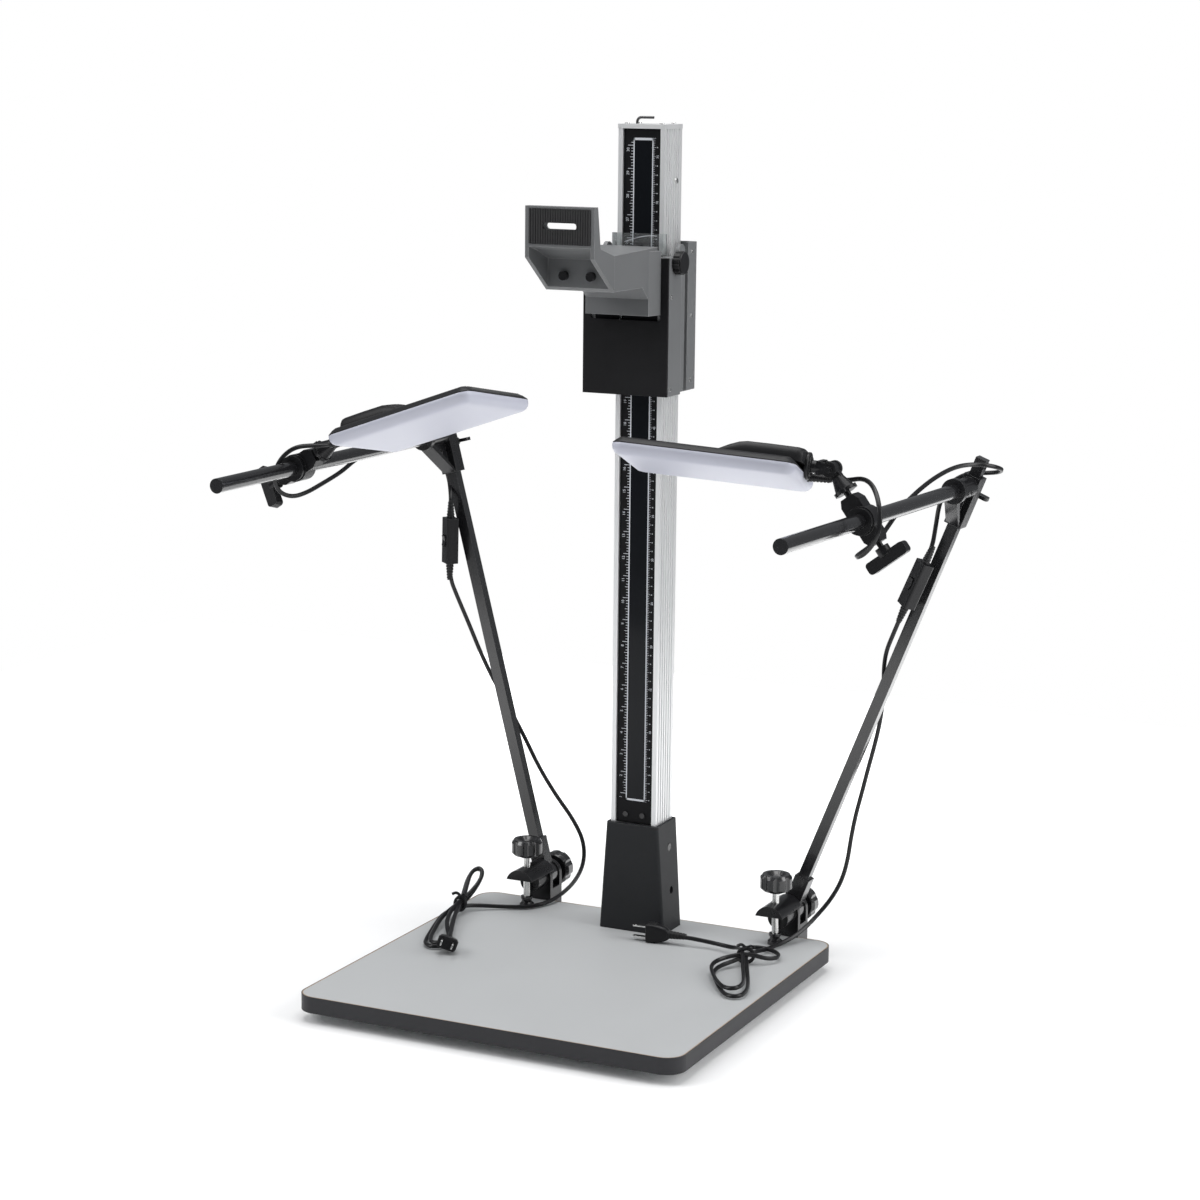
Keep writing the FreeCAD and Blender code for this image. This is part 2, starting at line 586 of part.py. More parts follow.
def clamp_handle():
    screw = cyl(3, 24, 0, 0, -36)
    hub = cyl(7.5, 9, 0, 0, -41)
    paddle = box(48, 11, 13, -24, -5.5, -51)
    rounded = round_edges(paddle, 4, lambda edge: abs(edge.tangentAt(edge.FirstParameter).y) > 0.9)
    return fuse(screw, hub, rounded)


def swivel_base():
    stud = cyl("stud_rad", 18, 0, 0, 16)
    flange = cut(cyl(12.5, 4, 0, 0, 33), *[
        cyl(3, 4, 14 * math.cos(k * math.pi / 3), 14 * math.sin(k * math.pi / 3), 33) for k in range(6)])
    waist = cone(10.5, 6, 14, 0, 0, 37)
    tongue = fuse(box(11, 7.6, 14, -5.5, -3.8, 47), cyl(7.2, 7.6, 0, -3.8, "reach_to_joint", "y"))
    bore = cyl(3.06, 12, 0, -6, "reach_to_joint", "y")
    return cut(fuse(stud, flange, waist, tongue), bore)


# Frame of a swivel head: origin on the cross pin, Y along the pin, X towards the light.


def swivel_head(towards_light):
    cheeks = [fuse(cyl(8, 4.6, 0, y, 0, "y"), box(13, 4.6, 12, 0, y, -6)) for y in (4, -8.6)]
    bridge = box(5, 17.2, 14, 9, -8.6, -7)
    pin = cyl(3, 24, 0, -12, 0, "y")
    neck = cyl(6.5, "lamp_gap - 5.3 - 11", 11, 0, 0, "x")
    neck.Placement = towards_light.multiply(neck.Placement)
    return fuse(*cheeks, bridge, pin, neck)


# ---------------------------------------------------------------- panel light

# Frame of a light: origin on the swivel's pin, X along the panel, Z out of its ribbed back.


def panel_block(inset, low, tall, corner):
    slab = box("lamp_long - %g" % (2 * inset), "lamp_wide - %g" % (2 * inset), tall, "lamp_gap + %g" % inset,
               "-lamp_wide / 2 + %g" % inset, low)
    return round_edges(slab, corner, upright)


def lamp_housing():
    frame = panel_block(0, "-lamp_drop", "lamp_frame", size("lamp_corner"))
    pocket = panel_block(3, "-lamp_drop", "lamp_frame - 3", size("lamp_corner") - 3)
    top = size("lamp_frame") - size("lamp_drop")
    start = size("lamp_gap")
    end = start + size("box_long")
    roof = top + size("box_tall")
    driver_box = prism("XZ_Plane", [(start, top - 1), (start, roof - 3), (start + 4, roof), (end - 22, roof),
                                    (end, top), (end, top - 1)], "2 * box_half")
    grooves = [box(size("box_long") - 30, 2, 1.6, start + 6, -26 + 6.25 * k, roof - 1.6) for k in range(9)]
    disc = cyl("disc_rad", 5.3, start - 5, 0, 0, "x")
    gland = cyl(4.5, 11, start - 10, -20, -8, "x")
    body = cut(fuse(frame, driver_box, disc, gland), pocket, *grooves)
    return body


def led_board():
    return panel_block(4, "lamp_frame - lamp_drop - 5", 1.6, size("lamp_corner") - 4)


def diffuser():
    outer = panel_block(0.4, "-lamp_drop - tray_deep", "tray_deep", size("lamp_corner") - 0.4)
    low = -size("lamp_drop") - size("tray_deep")
    outer = round_edges(outer, 5, lambda edge: edge.BoundBox.ZMax < low + 0.1)
    hollow = panel_block(3, "-lamp_drop - tray_deep + 2.6", "tray_deep", size("lamp_corner") - 3)
    return cut(outer, hollow)


# ---------------------------------------------------------------- flex, switches and plugs


def flex_tube(points):
    """A round flex along straight runs joined by tangent arcs that are as large as the runs allow."""
    radius = size("flex_rad")
    spots = [V(*point) for point in points]
    edges = []
    radii = []
    start = spots[0]
    for before, here, after in zip(spots, spots[1:], spots[2:]):
        back, ahead = (before - here), (after - here)
        shorter = min(back.Length, ahead.Length)
        half_turn = (math.pi - back.getAngle(ahead)) / 2
        tangent = 0.45 * shorter
        radii.append(tangent / math.tan(half_turn))
        back.normalize()
        ahead.normalize()
        first, last = here + back * tangent, here + ahead * tangent
        bisector = back + ahead
        bisector.normalize()
        middle = here + bisector * (radii[-1] / math.cos(half_turn) - radii[-1])
        edges.append(Part.LineSegment(start, first).toShape())
        edges.append(Part.Arc(first, middle, last).toShape())
        start = last
    edges.append(Part.LineSegment(start, spots[-1]).toShape())
    path = Part.Wire(edges)
    section = Part.Wire(Part.Circle(spots[0], spots[1] - spots[0], radius).toShape())
    tube = path.makePipeShell([section], True, False)
    expected = math.pi * radius ** 2 * path.Length
    print("flex length %.0f, volume ratio %.3f, radii" % (path.Length, tube.Volume / expected),
          " ".join("%.0f" % value for value in radii))
    return tube


def feature(shape):
    made = doc.addObject("Part::Feature", "Flex")
    made.Shape = shape
    return made


def hank(length, wide, thick):
    """The outer shape of a tied hank: a flat loop with round ends, lying along Y."""
    half = wide / 2
    middle = box(wide, length - wide, thick, -half, -(length - wide) / 2, 0)
    ends = [cyl(half, thick, 0, side * (length - wide) / 2, 0) for side in (-1, 1)]
    return round_edges(fuse(middle, *ends), thick * 0.42,
                       lambda edge: abs(edge.tangentAt(edge.FirstParameter).z) < 0.1)


def switch_body():
    shell = box(20, 15, "switch_long", -10, -7.5, "-switch_long / 2")
    rounded = round_edges(shell, 3, upright)
    well = box(8.4, 4, 14.4, -4.2, -7.5, -7.2)
    pin_bore = cyl(1.25, 10, -5, -4.8, 0, "x")
    return cut(rounded, well, pin_bore)


def rocker():
    key = prism("YZ_Plane", [(-4.2, -6.6), (-9.6, -6), (-8.2, 0), (-9.6, 6), (-4.2, 6.6)], 7.6)
    return fuse(key, cyl(1.2, 9.6, -4.8, -4.8, 0, "x"))


def plug():
    body = round_edges(box(22, 26, 15, -11, 0, -7.5), 4, upright)
    tail = cone(4.5, 3.4, 9, 0, 26, 0, "y")
    prongs = [box(1.5, 17.5, 6.3, x - 0.75, -17, -3.15) for x in (-6.35, 6.35)]
    return fuse(body, tail, *prongs)


# ---------------------------------------------------------------- placing the two lights

BACK_EDGE = size("board_deep") / 2
TABLE = size("feet_tall") + size("board_thick")
PIVOT_Y = 232

SIDES = {
    "left": {
        "pivot_x": -152, "lean": -14.6, "yaw": 0, "clamp_out": 329.6, "clamp_turn": 71.3,
        "rod_out": 0, "bracket_up": 542,
        "light_heading": -5.5, "light_rise": 18.9, "light_roll": -10.6, "handle_turn": -18,
        "switch_at": (-271, 213, 458), "switch_lean": 1,
        "plug_at": (-146, -22, 41.6), "plug_heading": 28, "plug_roll": -18,
        "hank_at": (-204.5, 84, 43.4), "hank_heading": 15, "hank_rise": 8, "hank_long": 190, "hank_wide": 30,
        "light_flex": [(-283, -112, 607), (-294, -120, 598), (-301, -124, 585), (-304, -124, 570),
                       (-301, -118, 556), (-293, -104, 550), (-287, -84, 553), (-284, -60, 559),
                       (-285, -30, 564), (-291, 0, 567), (-299, 32, 571), (-304, 70, 577),
                       (-305, 115, 578), (-307, 150, 575), (-310, 190, 573), (-310, 220, 567),
                       (-304, 238, 550), (-293, 236, 530), (-281, 222, 514)],
        "supply_flex": [(-265, 219, 390), (-254, 229, 355), (-243, 239, 318), (-229, 247, 284),
                        (-211, 252, 252), (-192, 255, 218), (-174, 258, 182), (-153, 263, 148),
                        (-133, 269, 120), (-120, 273, 93), (-116, 267, 68)],
        "board_flex": [(-119, 250, 49), (-125, 225, 38), (-130, 200, 34), (-141, 175.5, 33),
                       (-159, 165, 33), (-178, 160, 34.5), (-196, 151.5, 42), (-209.5, 142.5, 55)],
        "tail_flex": [(-169.5, 22.2, 41.6), (-183, 38, 43)],
    },
    "right": {
        "pivot_x": 166.5, "lean": 21.44, "yaw": -2.1, "clamp_out": 306.4, "clamp_turn": -58.3,
        "rod_out": 20, "bracket_up": 547,
        "light_heading": 189.5, "light_rise": 4.1, "light_roll": 17.9, "handle_turn": 0,
        "switch_at": (314, 209, 457), "switch_lean": 23,
        "plug_at": (33, 126, 41.2), "plug_heading": -86, "plug_roll": 90,
        "hank_at": (173, 65, 30.2), "hank_heading": 8, "hank_rise": 0, "hank_long": 168, "hank_wide": 36,
        "light_flex": [(331, -54, 607), (347, -60, 611), (362, -74, 609), (374, -89, 600),
                       (381, -99, 586), (383, -103, 569), (377, -104, 553), (366, -100, 541),
                       (354, -89, 535), (348, -70, 534), (349, -47, 537), (353, -20, 544), (350, 18, 554),
                       (346, 58, 563), (347, 100, 574), (353, 145, 586), (363, 183, 594), (376, 207, 595),
                       (393, 218, 593), (400, 238, 587), (391, 256, 581), (372, 262, 578), (352, 258, 577),
                       (336, 246, 566), (331, 231, 546), (333, 215, 522)],
        "supply_flex": [(287, 214, 395), (277, 225, 377), (270, 237, 357), (267, 246, 333),
                        (265, 251, 309), (261, 253, 283), (255, 254.5, 257), (248, 255, 230),
                        (241, 257, 202), (234, 257, 174), (229, 257, 146), (226, 256, 119)],
        "board_flex": [(221, 252, 95), (212, 243, 74), (201, 229, 57), (192, 210, 44), (184, 191, 37),
                       (176, 172, 34), (168, 155, 34), (162, 137, 37)],
        "tail_flex": [(89, 133, 39.5), (110, 134, 37.5), (130, 126, 37), (150, 113, 38)],
    },
}


def frames(side):
    """The chain of frames from the arm's pivot to the light."""
    arm = FreeCAD.Placement(V(side["pivot_x"], PIVOT_Y, TABLE + size("pivot_up")),
                            FreeCAD.Rotation(Y_AXIS, side["lean"]))
    bracket = arm.multiply(FreeCAD.Placement(V(0, 0, side["bracket_up"]),
                                             FreeCAD.Rotation(Z_AXIS, side["yaw"])))
    clamp = bracket.multiply(FreeCAD.Placement(V(0, -side["clamp_out"], 0),
                                               FreeCAD.Rotation(Y_AXIS, side["clamp_turn"])))
    joint = clamp.multVec(V(0, 0, size("reach_to_joint")))
    turn = (FreeCAD.Rotation(Z_AXIS, side["light_heading"])
            .multiply(FreeCAD.Rotation(Y_AXIS, -side["light_rise"]))
            .multiply(FreeCAD.Rotation(X_AXIS, side["light_roll"])))
    light = FreeCAD.Placement(joint, turn)
    pin = clamp.Rotation.multVec(Y_AXIS)
    forward = turn.multVec(X_AXIS)
    forward = forward - pin * forward.dot(pin)
    head = FreeCAD.Placement(joint, FreeCAD.Rotation(forward, pin, V(0, 0, 0), "XYZ"))
    return arm, bracket, clamp, head, light


def place_clamp(name, side):
    base = shift(side["pivot_x"], BACK_EDGE, TABLE)
    screw = clamp_screw()
    screw_place = base.multiply(shift(0, -size("screw_in"), 0))
    keep(screw, "clamp_screw_" + name, screw_place)
    keep(pivot_bolt(), "pivot_knob_" + name, base.multiply(shift(0, 0, size("pivot_up"))))
    casting = clamp_casting()
    casting.Placement = base
    return casting


def place_light(name, side):
    arm, bracket, clamp, head, light = frames(side)
    keep(swing_arm(), "arm_" + name, arm)
    keep(rod_bracket(), "rod_bracket_" + name, bracket)
    keep(wing_screw(), "wing_screw_" + name, bracket)
    keep(light_rod(side["rod_out"]), "rod_" + name, bracket)
    keep(rod_collar(), "rod_collar_" + name, clamp)
    keep(lamp_clamp(), "lamp_clamp_" + name, clamp)
    twist = FreeCAD.Placement(V(0, 0, 0), FreeCAD.Rotation(Z_AXIS, side["handle_turn"]))
    keep(clamp_handle(), "clamp_handle_" + name, clamp.multiply(twist))
    keep(swivel_base(), "swivel_base_" + name, clamp)
    keep(swivel_head(head.inverse().multiply(light)), "swivel_head_" + name, head)
    keep(lamp_housing(), "lamp_housing_" + name, light)
    keep(led_board(), "led_board_" + name, light)
    keep(diffuser(), "diffuser_" + name, light)


def place_flex(name, side):
    light = frames(side)[-1]
    gland = [light.multVec(V(size("lamp_gap") - size(depth), -size("gland_side"), -size("gland_drop")))
             for depth in ("gland_in", "gland_out")]
    switch = FreeCAD.Placement(V(*side["switch_at"]), FreeCAD.Rotation(Y_AXIS, side["switch_lean"]).multiply(
        FreeCAD.Rotation(Z_AXIS, -size("switch_turn"))))
    half = size("switch_long") / 2
    stub = half + size("switch_stub")
    above, top, bottom, below = [switch.multVec(V(0, 0, z)) for z in (stub, half, -half, -stub)]
    keep(feature(flex_tube([*gland, *side["light_flex"], above, top])), "light_flex_" + name)
    keep(switch_body(), "switch_" + name, switch)
    keep(rocker(), "rocker_" + name, switch)
    lie = FreeCAD.Placement(V(*side["hank_at"]), FreeCAD.Rotation(Z_AXIS, side["hank_heading"]).multiply(
        FreeCAD.Rotation(X_AXIS, side["hank_rise"])))
    keep(hank(side["hank_long"], side["hank_wide"], size("hank_thick")), "flex_hank_" + name, lie)
    rest = FreeCAD.Placement(V(*side["plug_at"]), FreeCAD.Rotation(Z_AXIS, side["plug_heading"]).multiply(
        FreeCAD.Rotation(Y_AXIS, side["plug_roll"])))
    keep(plug(), "plug_" + name, rest)
    runs = [[bottom, below, *side["supply_flex"], *side["board_flex"]]]
    runs.append([rest.multVec(V(0, size("plug_tail"), 0)), *side["tail_flex"]])
    keep(group(*[feature(flex_tube(run)) for run in runs]), "supply_flex_" + name)


make_board()
make_column()
make_column_foot()
make_hex_key()
make_stand_screws()
make_carriage()
make_drive_knob()
make_neck()
make_camera_bracket()
make_cursor()
make_carriage_screws()
keep(group(*[place_clamp(name, side) for name, side in SIDES.items()]), "arm_clamps")
for name, side in SIDES.items():
    place_light(name, side)
    place_flex(name, side)

doc.recompute()
for item in doc.Objects:
    if "Invalid" in item.State or "Error" in item.State:
        raise RuntimeError("%s did not build: %s" % (item.Name, item.State))
os.makedirs("parts", exist_ok=True)
for piece in finished:
    if piece.Shape.isNull() or not piece.Shape.isValid() or not piece.Shape.Solids:
        raise RuntimeError("%s is not a sound solid" % piece.Label)
    piece.Shape.exportStep("parts/%s.step" % piece.Label)
    print("%-22s solids %d volume %.0f" % (piece.Label, len(piece.Shape.Solids), piece.Shape.Volume))
print(len(finished), "nodes")
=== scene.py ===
import json
import math

import bmesh
import bpy
from mathutils import Matrix, Vector


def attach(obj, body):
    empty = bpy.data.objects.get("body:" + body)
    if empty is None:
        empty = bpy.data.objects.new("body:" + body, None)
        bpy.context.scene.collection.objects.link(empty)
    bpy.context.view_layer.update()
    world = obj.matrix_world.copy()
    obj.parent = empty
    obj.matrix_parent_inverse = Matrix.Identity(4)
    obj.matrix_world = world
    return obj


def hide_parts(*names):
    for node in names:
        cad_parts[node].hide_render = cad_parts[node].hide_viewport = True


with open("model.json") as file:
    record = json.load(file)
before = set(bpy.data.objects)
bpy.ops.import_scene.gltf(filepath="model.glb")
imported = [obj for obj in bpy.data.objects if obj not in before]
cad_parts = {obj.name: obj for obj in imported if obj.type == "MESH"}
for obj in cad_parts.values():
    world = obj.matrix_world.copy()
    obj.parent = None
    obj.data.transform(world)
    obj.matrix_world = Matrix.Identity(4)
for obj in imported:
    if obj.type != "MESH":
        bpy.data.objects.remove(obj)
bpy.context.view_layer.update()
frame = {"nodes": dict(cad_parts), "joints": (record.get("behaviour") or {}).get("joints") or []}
MM = 0.001
PARTS = frame["nodes"]
SIDES = ("left", "right")
BOARD_FLOOR = -30 * MM

# ------------------------------------------------------------------ camera

CAMERA_AT = Vector((1.3205, -2.7028, 0.9831))
CAMERA_LOOKS_AT = Vector((0.02236, 0.01387, 0.41523))
CAMERA_ROLL = math.radians(0.58)
CAMERA_LENS = 84.78
CAMERA_SENSOR = 36

camera_data = bpy.data.cameras.new("camera")
camera_data.lens = CAMERA_LENS
camera_data.sensor_width = CAMERA_SENSOR
camera = bpy.data.objects.new("camera", camera_data)
bpy.context.scene.collection.objects.link(camera)
look = (CAMERA_LOOKS_AT - CAMERA_AT).to_track_quat("-Z", "Y").to_matrix().to_4x4()
camera.matrix_world = Matrix.Translation(CAMERA_AT) @ look @ Matrix.Rotation(CAMERA_ROLL, 4, "Z")
bpy.context.scene.camera = camera


# ------------------------------------------------------------------ mesh helpers

def add_object(name, mesh):
    made = bpy.data.objects.new(name, mesh)
    bpy.context.scene.collection.objects.link(made)
    return made


def from_bmesh(name, shape, smooth_angle=35):
    """Turn a bmesh into an object, smooth where faces meet at less than an angle."""
    mesh = bpy.data.meshes.new(name)
    bmesh.ops.recalc_face_normals(shape, faces=shape.faces)
    for face in shape.faces:
        face.smooth = True
    for edge in shape.edges:
        if len(edge.link_faces) == 2 and edge.calc_face_angle(0) > math.radians(smooth_angle):
            edge.smooth = False
    shape.to_mesh(mesh)
    shape.free()
    return add_object(name, mesh)


def lathe(shape, profile, place, steps=48):
    """Add a turned solid from a list of (radius, height) in mm, from one end of its axis to the other."""
    rings = []
    for radius, height in profile:
        if radius < 1e-6:
            rings.append([shape.verts.new(place @ Vector((0, 0, height * MM)))])
            continue
        ring = []
        for k in range(steps):
            angle = 2 * math.pi * k / steps
            spot = Vector((radius * math.cos(angle), radius * math.sin(angle), height)) * MM
            ring.append(shape.verts.new(place @ spot))
        rings.append(ring)
    for low, high in zip(rings, rings[1:]):
        for k in range(steps):
            after = (k + 1) % steps
            if len(low) == 1 and len(high) == 1:
                continue
            if len(low) == 1:
                shape.faces.new((low[0], high[after], high[k]))
            elif len(high) == 1:
                shape.faces.new((low[k], low[after], high[0]))
            else:
                shape.faces.new((low[k], low[after], high[after], high[k]))


def block(shape, size, centre, place=Matrix.Identity(4), bevel=0.0, segments=2):
    """Add a block with rounded edges. Sizes in mm."""
    made = bmesh.ops.create_cube(shape, size=1.0)
    verts = made["verts"]
    for vert in verts:
        vert.co = Vector([vert.co[i] * size[i] + centre[i] for i in range(3)]) * MM
    if bevel:
        edges = list({edge for vert in verts for edge in vert.link_edges})
        result = bmesh.ops.bevel(shape, geom=edges, offset=bevel * MM, segments=segments, affect="EDGES",
                                 profile=0.5, clamp_overlap=True)
        rounded = {vert for face in result["faces"] for vert in face.verts}
        verts = list(rounded | {vert for vert in verts if vert.is_valid})
    bmesh.ops.transform(shape, matrix=place, verts=verts)


def axis_place(at, direction, up=Vector((0, 0, 1))):
    """A frame at a point in mm with its Z along a direction."""
    z = Vector(direction).normalized()
    if abs(z.dot(up)) > 0.98:
        up = Vector((0, 1, 0))
    x = up.cross(z).normalized()
    y = z.cross(x)
    turn = Matrix((x, y, z)).transposed().to_4x4()
    return Matrix.Translation(Vector(at) * MM) @ turn


def spline_path(points, per_run=10):
    """The line of a smooth NURBS spline that has these points, in metres, as its control points."""
    curve = bpy.data.curves.new("route", "CURVE")
    curve.dimensions = "3D"
    spline = curve.splines.new("NURBS")
    spline.points.add(len(points) - 1)
    for spot, point in zip(spline.points, points):
        spot.co = (*point, 1)
    spline.order_u = 3
    spline.use_endpoint_u = True
    spline.resolution_u = per_run
    holder = bpy.data.objects.new("route", curve)
    line = bpy.data.meshes.new_from_object(holder)
    path = [vert.co.copy() for vert in line.vertices]
    bpy.data.objects.remove(holder)
    bpy.data.curves.remove(curve)
    bpy.data.meshes.remove(line)
    return path


# a side shorter than this means that the path starts along its up direction
SHORT_SIDE = 0.05
# how strongly a swept outline is turned towards its flat side at each step of the path
TURN_EASE = 0.25


def sweep(shape, path, outline, up=Vector((0, 0, 1)), flat_side=None):
    """Sweep a closed outline of (across, up) points in metres along a path.

    The outline keeps its turn, or eases its wide side round to face flat_side.
    """
    side = None
    rings = []
    for k, spot in enumerate(path):
        ahead = (path[min(k + 1, len(path) - 1)] - path[max(k - 1, 0)]).normalized()
        if side is None:
            side = ahead.cross(up)
            if side.length < SHORT_SIDE:
                side = ahead.cross(Vector((0, 1, 0)))
        if flat_side is not None:
            wish = ahead.cross(flat_side)
            side = side + wish * (TURN_EASE if wish.dot(side) > 0 else -TURN_EASE)
        side = (side - ahead * side.dot(ahead)).normalized()
        over = side.cross(ahead)
        rings.append([shape.verts.new(spot + side * a + over * b) for a, b in outline])
    count = len(outline)
    for low, high in zip(rings, rings[1:]):
        for k in range(count):
            after = (k + 1) % count
            shape.faces.new((low[k], low[after], high[after], high[k]))
    shape.faces.new(rings[0])
    shape.faces.new(list(reversed(rings[-1])))


# the part of a half turn that each core of a twin flex bulges through
CORE_ARC = 0.78


def twin_outline(width, thick, steps=10):
    """The section of a flat twin flex: two round cores side by side with a shallow waist."""
    radius = thick / 2
    offset = width / 2 - radius
    outline = []
    for way in (1, -1):
        for k in range(steps):
            angle = CORE_ARC * math.pi * (k / (steps - 1) - 0.5)
            outline.append((way * (offset + radius * math.cos(angle)), way * radius * math.sin(angle)))
    return outline


# ------------------------------------------------------------------ cords
# Routes in mm: the control points of each flex, one smooth spline each.

# the flex's section, and the way its flat side looks
FLEX_WIDE = 4.9 * MM
FLEX_THICK = 3.2 * MM
FLAT_SIDE = Vector((-0.42, 0.89, -0.19))

# from the light's gland to the inline switch
LIGHT_ROUTES = {
    "left": [(-223.2, -120.2, 587.2), (-236.4, -118.9, 582.7), (-260, -114, 580), (-283, -112, 577),
             (-294, -120, 568), (-301, -124, 555), (-304, -124, 540), (-301, -118, 526), (-293, -104, 520),
             (-287, -84, 523), (-284, -60, 529), (-285, -30, 534), (-291, 0, 537), (-299, 32, 541),
             (-304, 70, 547), (-305, 115, 548), (-307, 150, 545), (-310, 190, 543), (-310, 220, 537),
             (-297, 240, 520), (-285, 235, 500), (-275, 221, 485), (-270.2, 213, 473), (-270.5, 213, 455)],
    "right": [(300, -58.7, 577.5), (313.8, -56.4, 576.5), (331, -54, 577), (347, -60, 581), (362, -74, 579),
              (374, -89, 570), (381, -99, 556), (383, -103, 539), (377, -104, 523), (366, -100, 511),
              (354, -89, 505), (348, -70, 504), (349, -47, 507), (353, -20, 514), (350, 18, 524),
              (346, 58, 533), (347, 100, 544), (353, 145, 556), (363, 183, 564), (376, 207, 565),
              (393, 218, 563), (400, 238, 557), (391, 256, 551), (372, 262, 548), (352, 258, 547),
              (336, 246, 536), (331, 231, 516), (333, 215, 492), (331.6, 209, 468.4), (324.5, 209, 451.9)],
}
# from the inline switch down the arm to the board
SUPPLY_ROUTES = {
    "left": [(-271.5, 213, 401), (-271.8, 213, 383), (-265, 219, 360), (-254, 229, 325), (-243, 239, 288),
             (-229, 247, 254), (-211, 252, 222), (-192, 255, 188), (-174, 258, 152), (-153, 263, 118),
             (-133, 269, 90), (-120, 273, 63), (-116, 267, 38), (-119, 250, 19), (-125, 225, 8),
             (-130, 200, 4), (-141, 175.5, 3.5), (-159, 164, 3.5), (-178, 154, 4.5), (-194, 144, 6)],
    "right": [(303.4, 209, 402.2), (296.4, 209, 385.6), (287, 214, 365), (277, 225, 347), (270, 237, 327),
              (267, 246, 303), (265, 251, 279), (261, 253, 253), (255, 254.5, 227), (248, 255, 200),
              (241, 257, 172), (234, 257, 144), (229, 257, 116), (226, 256, 89), (221, 252, 65),
              (212, 243, 44), (201, 229, 27), (192, 210, 14), (184, 191, 7), (176, 172, 4), (171, 150, 4)],
}
# the turns that each supply flex lies in on the board, carried on from its route
BOWS = {
    "left": [(-206, 130, 8), (-212, 110, 8), (-213, 86, 7), (-206, 60, 6), (-198, 34, 5), (-190, 8, 4),
             (-182, -10, 4), (-170, -16, 4), (-161, -8, 4), (-165, 14, 5), (-177, 42, 6), (-189, 68, 7),
             (-199, 94, 9), (-206, 118, 11), (-207, 138, 14), (-206, 156, 22), (-207, 174, 31),
             (-213, 186, 37), (-222, 182, 37), (-221, 164, 29), (-216, 146, 19), (-210, 128, 13),
             (-209, 106, 12), (-206, 82, 11), (-200, 56, 10), (-192, 30, 8), (-184, 6, 7),
             (-175, -8, 6), (-163, -6, 7), (-160, 8, 8), (-170, 30, 9), (-182, 56, 10), (-193, 82, 12),
             (-202, 106, 14), (-207, 124, 16), (-205, 142, 21), (-203, 160, 29), (-206, 176, 37),
             (-214, 181, 41), (-219, 169, 37), (-214, 150, 27), (-208, 132, 19), (-205, 110, 16),
             (-201, 86, 14), (-193, 62, 11), (-184, 46, 8), (-175, 33, 5.5), (-165.2, 16.5, 5),
             (-160.1, 5.9, 7.3)],
    "right": [(167, 128, 7), (165, 104, 9), (158, 84, 7), (148, 66, 5), (150, 44, 4), (164, 20, 4),
              (182, -8, 4), (197, -22, 4), (209, -16, 4), (208, 4, 5), (199, 28, 5), (188, 52, 7),
              (176, 78, 9), (166, 100, 10), (152, 120, 7), (146, 138, 5), (156, 152, 4), (174, 151, 4),
              (189, 141, 4), (196, 124, 5), (188, 108, 7), (172, 99, 13), (158, 88, 13), (144, 72, 10),
              (144, 52, 9), (156, 30, 8), (172, 6, 8), (187, -9, 8), (200, -8, 9), (201, 10, 9),
              (192, 32, 10), (181, 56, 12), (171, 80, 14), (161, 102, 15), (150, 117, 12), (138, 126, 8),
              (124, 132, 7), (106, 133, 8), (89, 130, 10), (72, 126.8, 11.2), (66, 126.4, 11.2)],
}


def flex(name, route, pieces):
    path = spline_path([Vector(point) * MM for point in route])
    shape = bmesh.new()
    sweep(shape, path, twin_outline(FLEX_WIDE, FLEX_THICK), flat_side=FLAT_SIDE)
    cord = from_bmesh(name, shape, 80)
    return cord


# ------------------------------------------------------------------ materials

def node(tree, kind, **inputs):
    made = tree.nodes.new(kind)
    for name, value in inputs.items():
        made.inputs[name.replace("_", " ")].default_value = value
    return made


def maths(tree, operation, first, second):
    made = tree.nodes.new("ShaderNodeMath")
    made.operation = operation
    for socket, value in zip(made.inputs, (first, second)):
        if isinstance(value, (int, float)):
            socket.default_value = value
        else:
            tree.links.new(value, socket)
    return made.outputs[0]


def mixed(tree, factor, first, second):
    made = tree.nodes.new("ShaderNodeMix")
    made.data_type = "RGBA"
    tree.links.new(factor, made.inputs["Factor"])
    for name, value in (("A", first), ("B", second)):
        socket = [item for item in made.inputs if item.name == name and item.type == "RGBA"][0]
        if isinstance(value, tuple):
            socket.default_value = (*value, 1)
        else:
            tree.links.new(value, socket)
    return [item for item in made.outputs if item.type == "RGBA"][0]


def noise(tree, place, scale, detail=3.0, stretch=(1, 1, 1)):
    mapping = tree.nodes.new("ShaderNodeMapping")
    mapping.inputs["Scale"].default_value = stretch
    tree.links.new(place, mapping.inputs["Vector"])
    made = node(tree, "ShaderNodeTexNoise", Scale=scale, Detail=detail, Roughness=0.6)
    tree.links.new(mapping.outputs[0], made.inputs["Vector"])
    return made.outputs["Fac"]


def shade(colour, amount):
    return tuple(min(1.0, channel * amount) for channel in colour)


# the broad mottle's share in a finish's colour; the rest is fine grain
BROAD_SHARE = 0.65
# how strongly edges show wear, how much lighter worn edges are, and the grain's share in the gloss
WEAR_GAIN = 14.0
WEAR_LIGHTER = 1.35
GRAIN_IN_GLOSS = 0.4


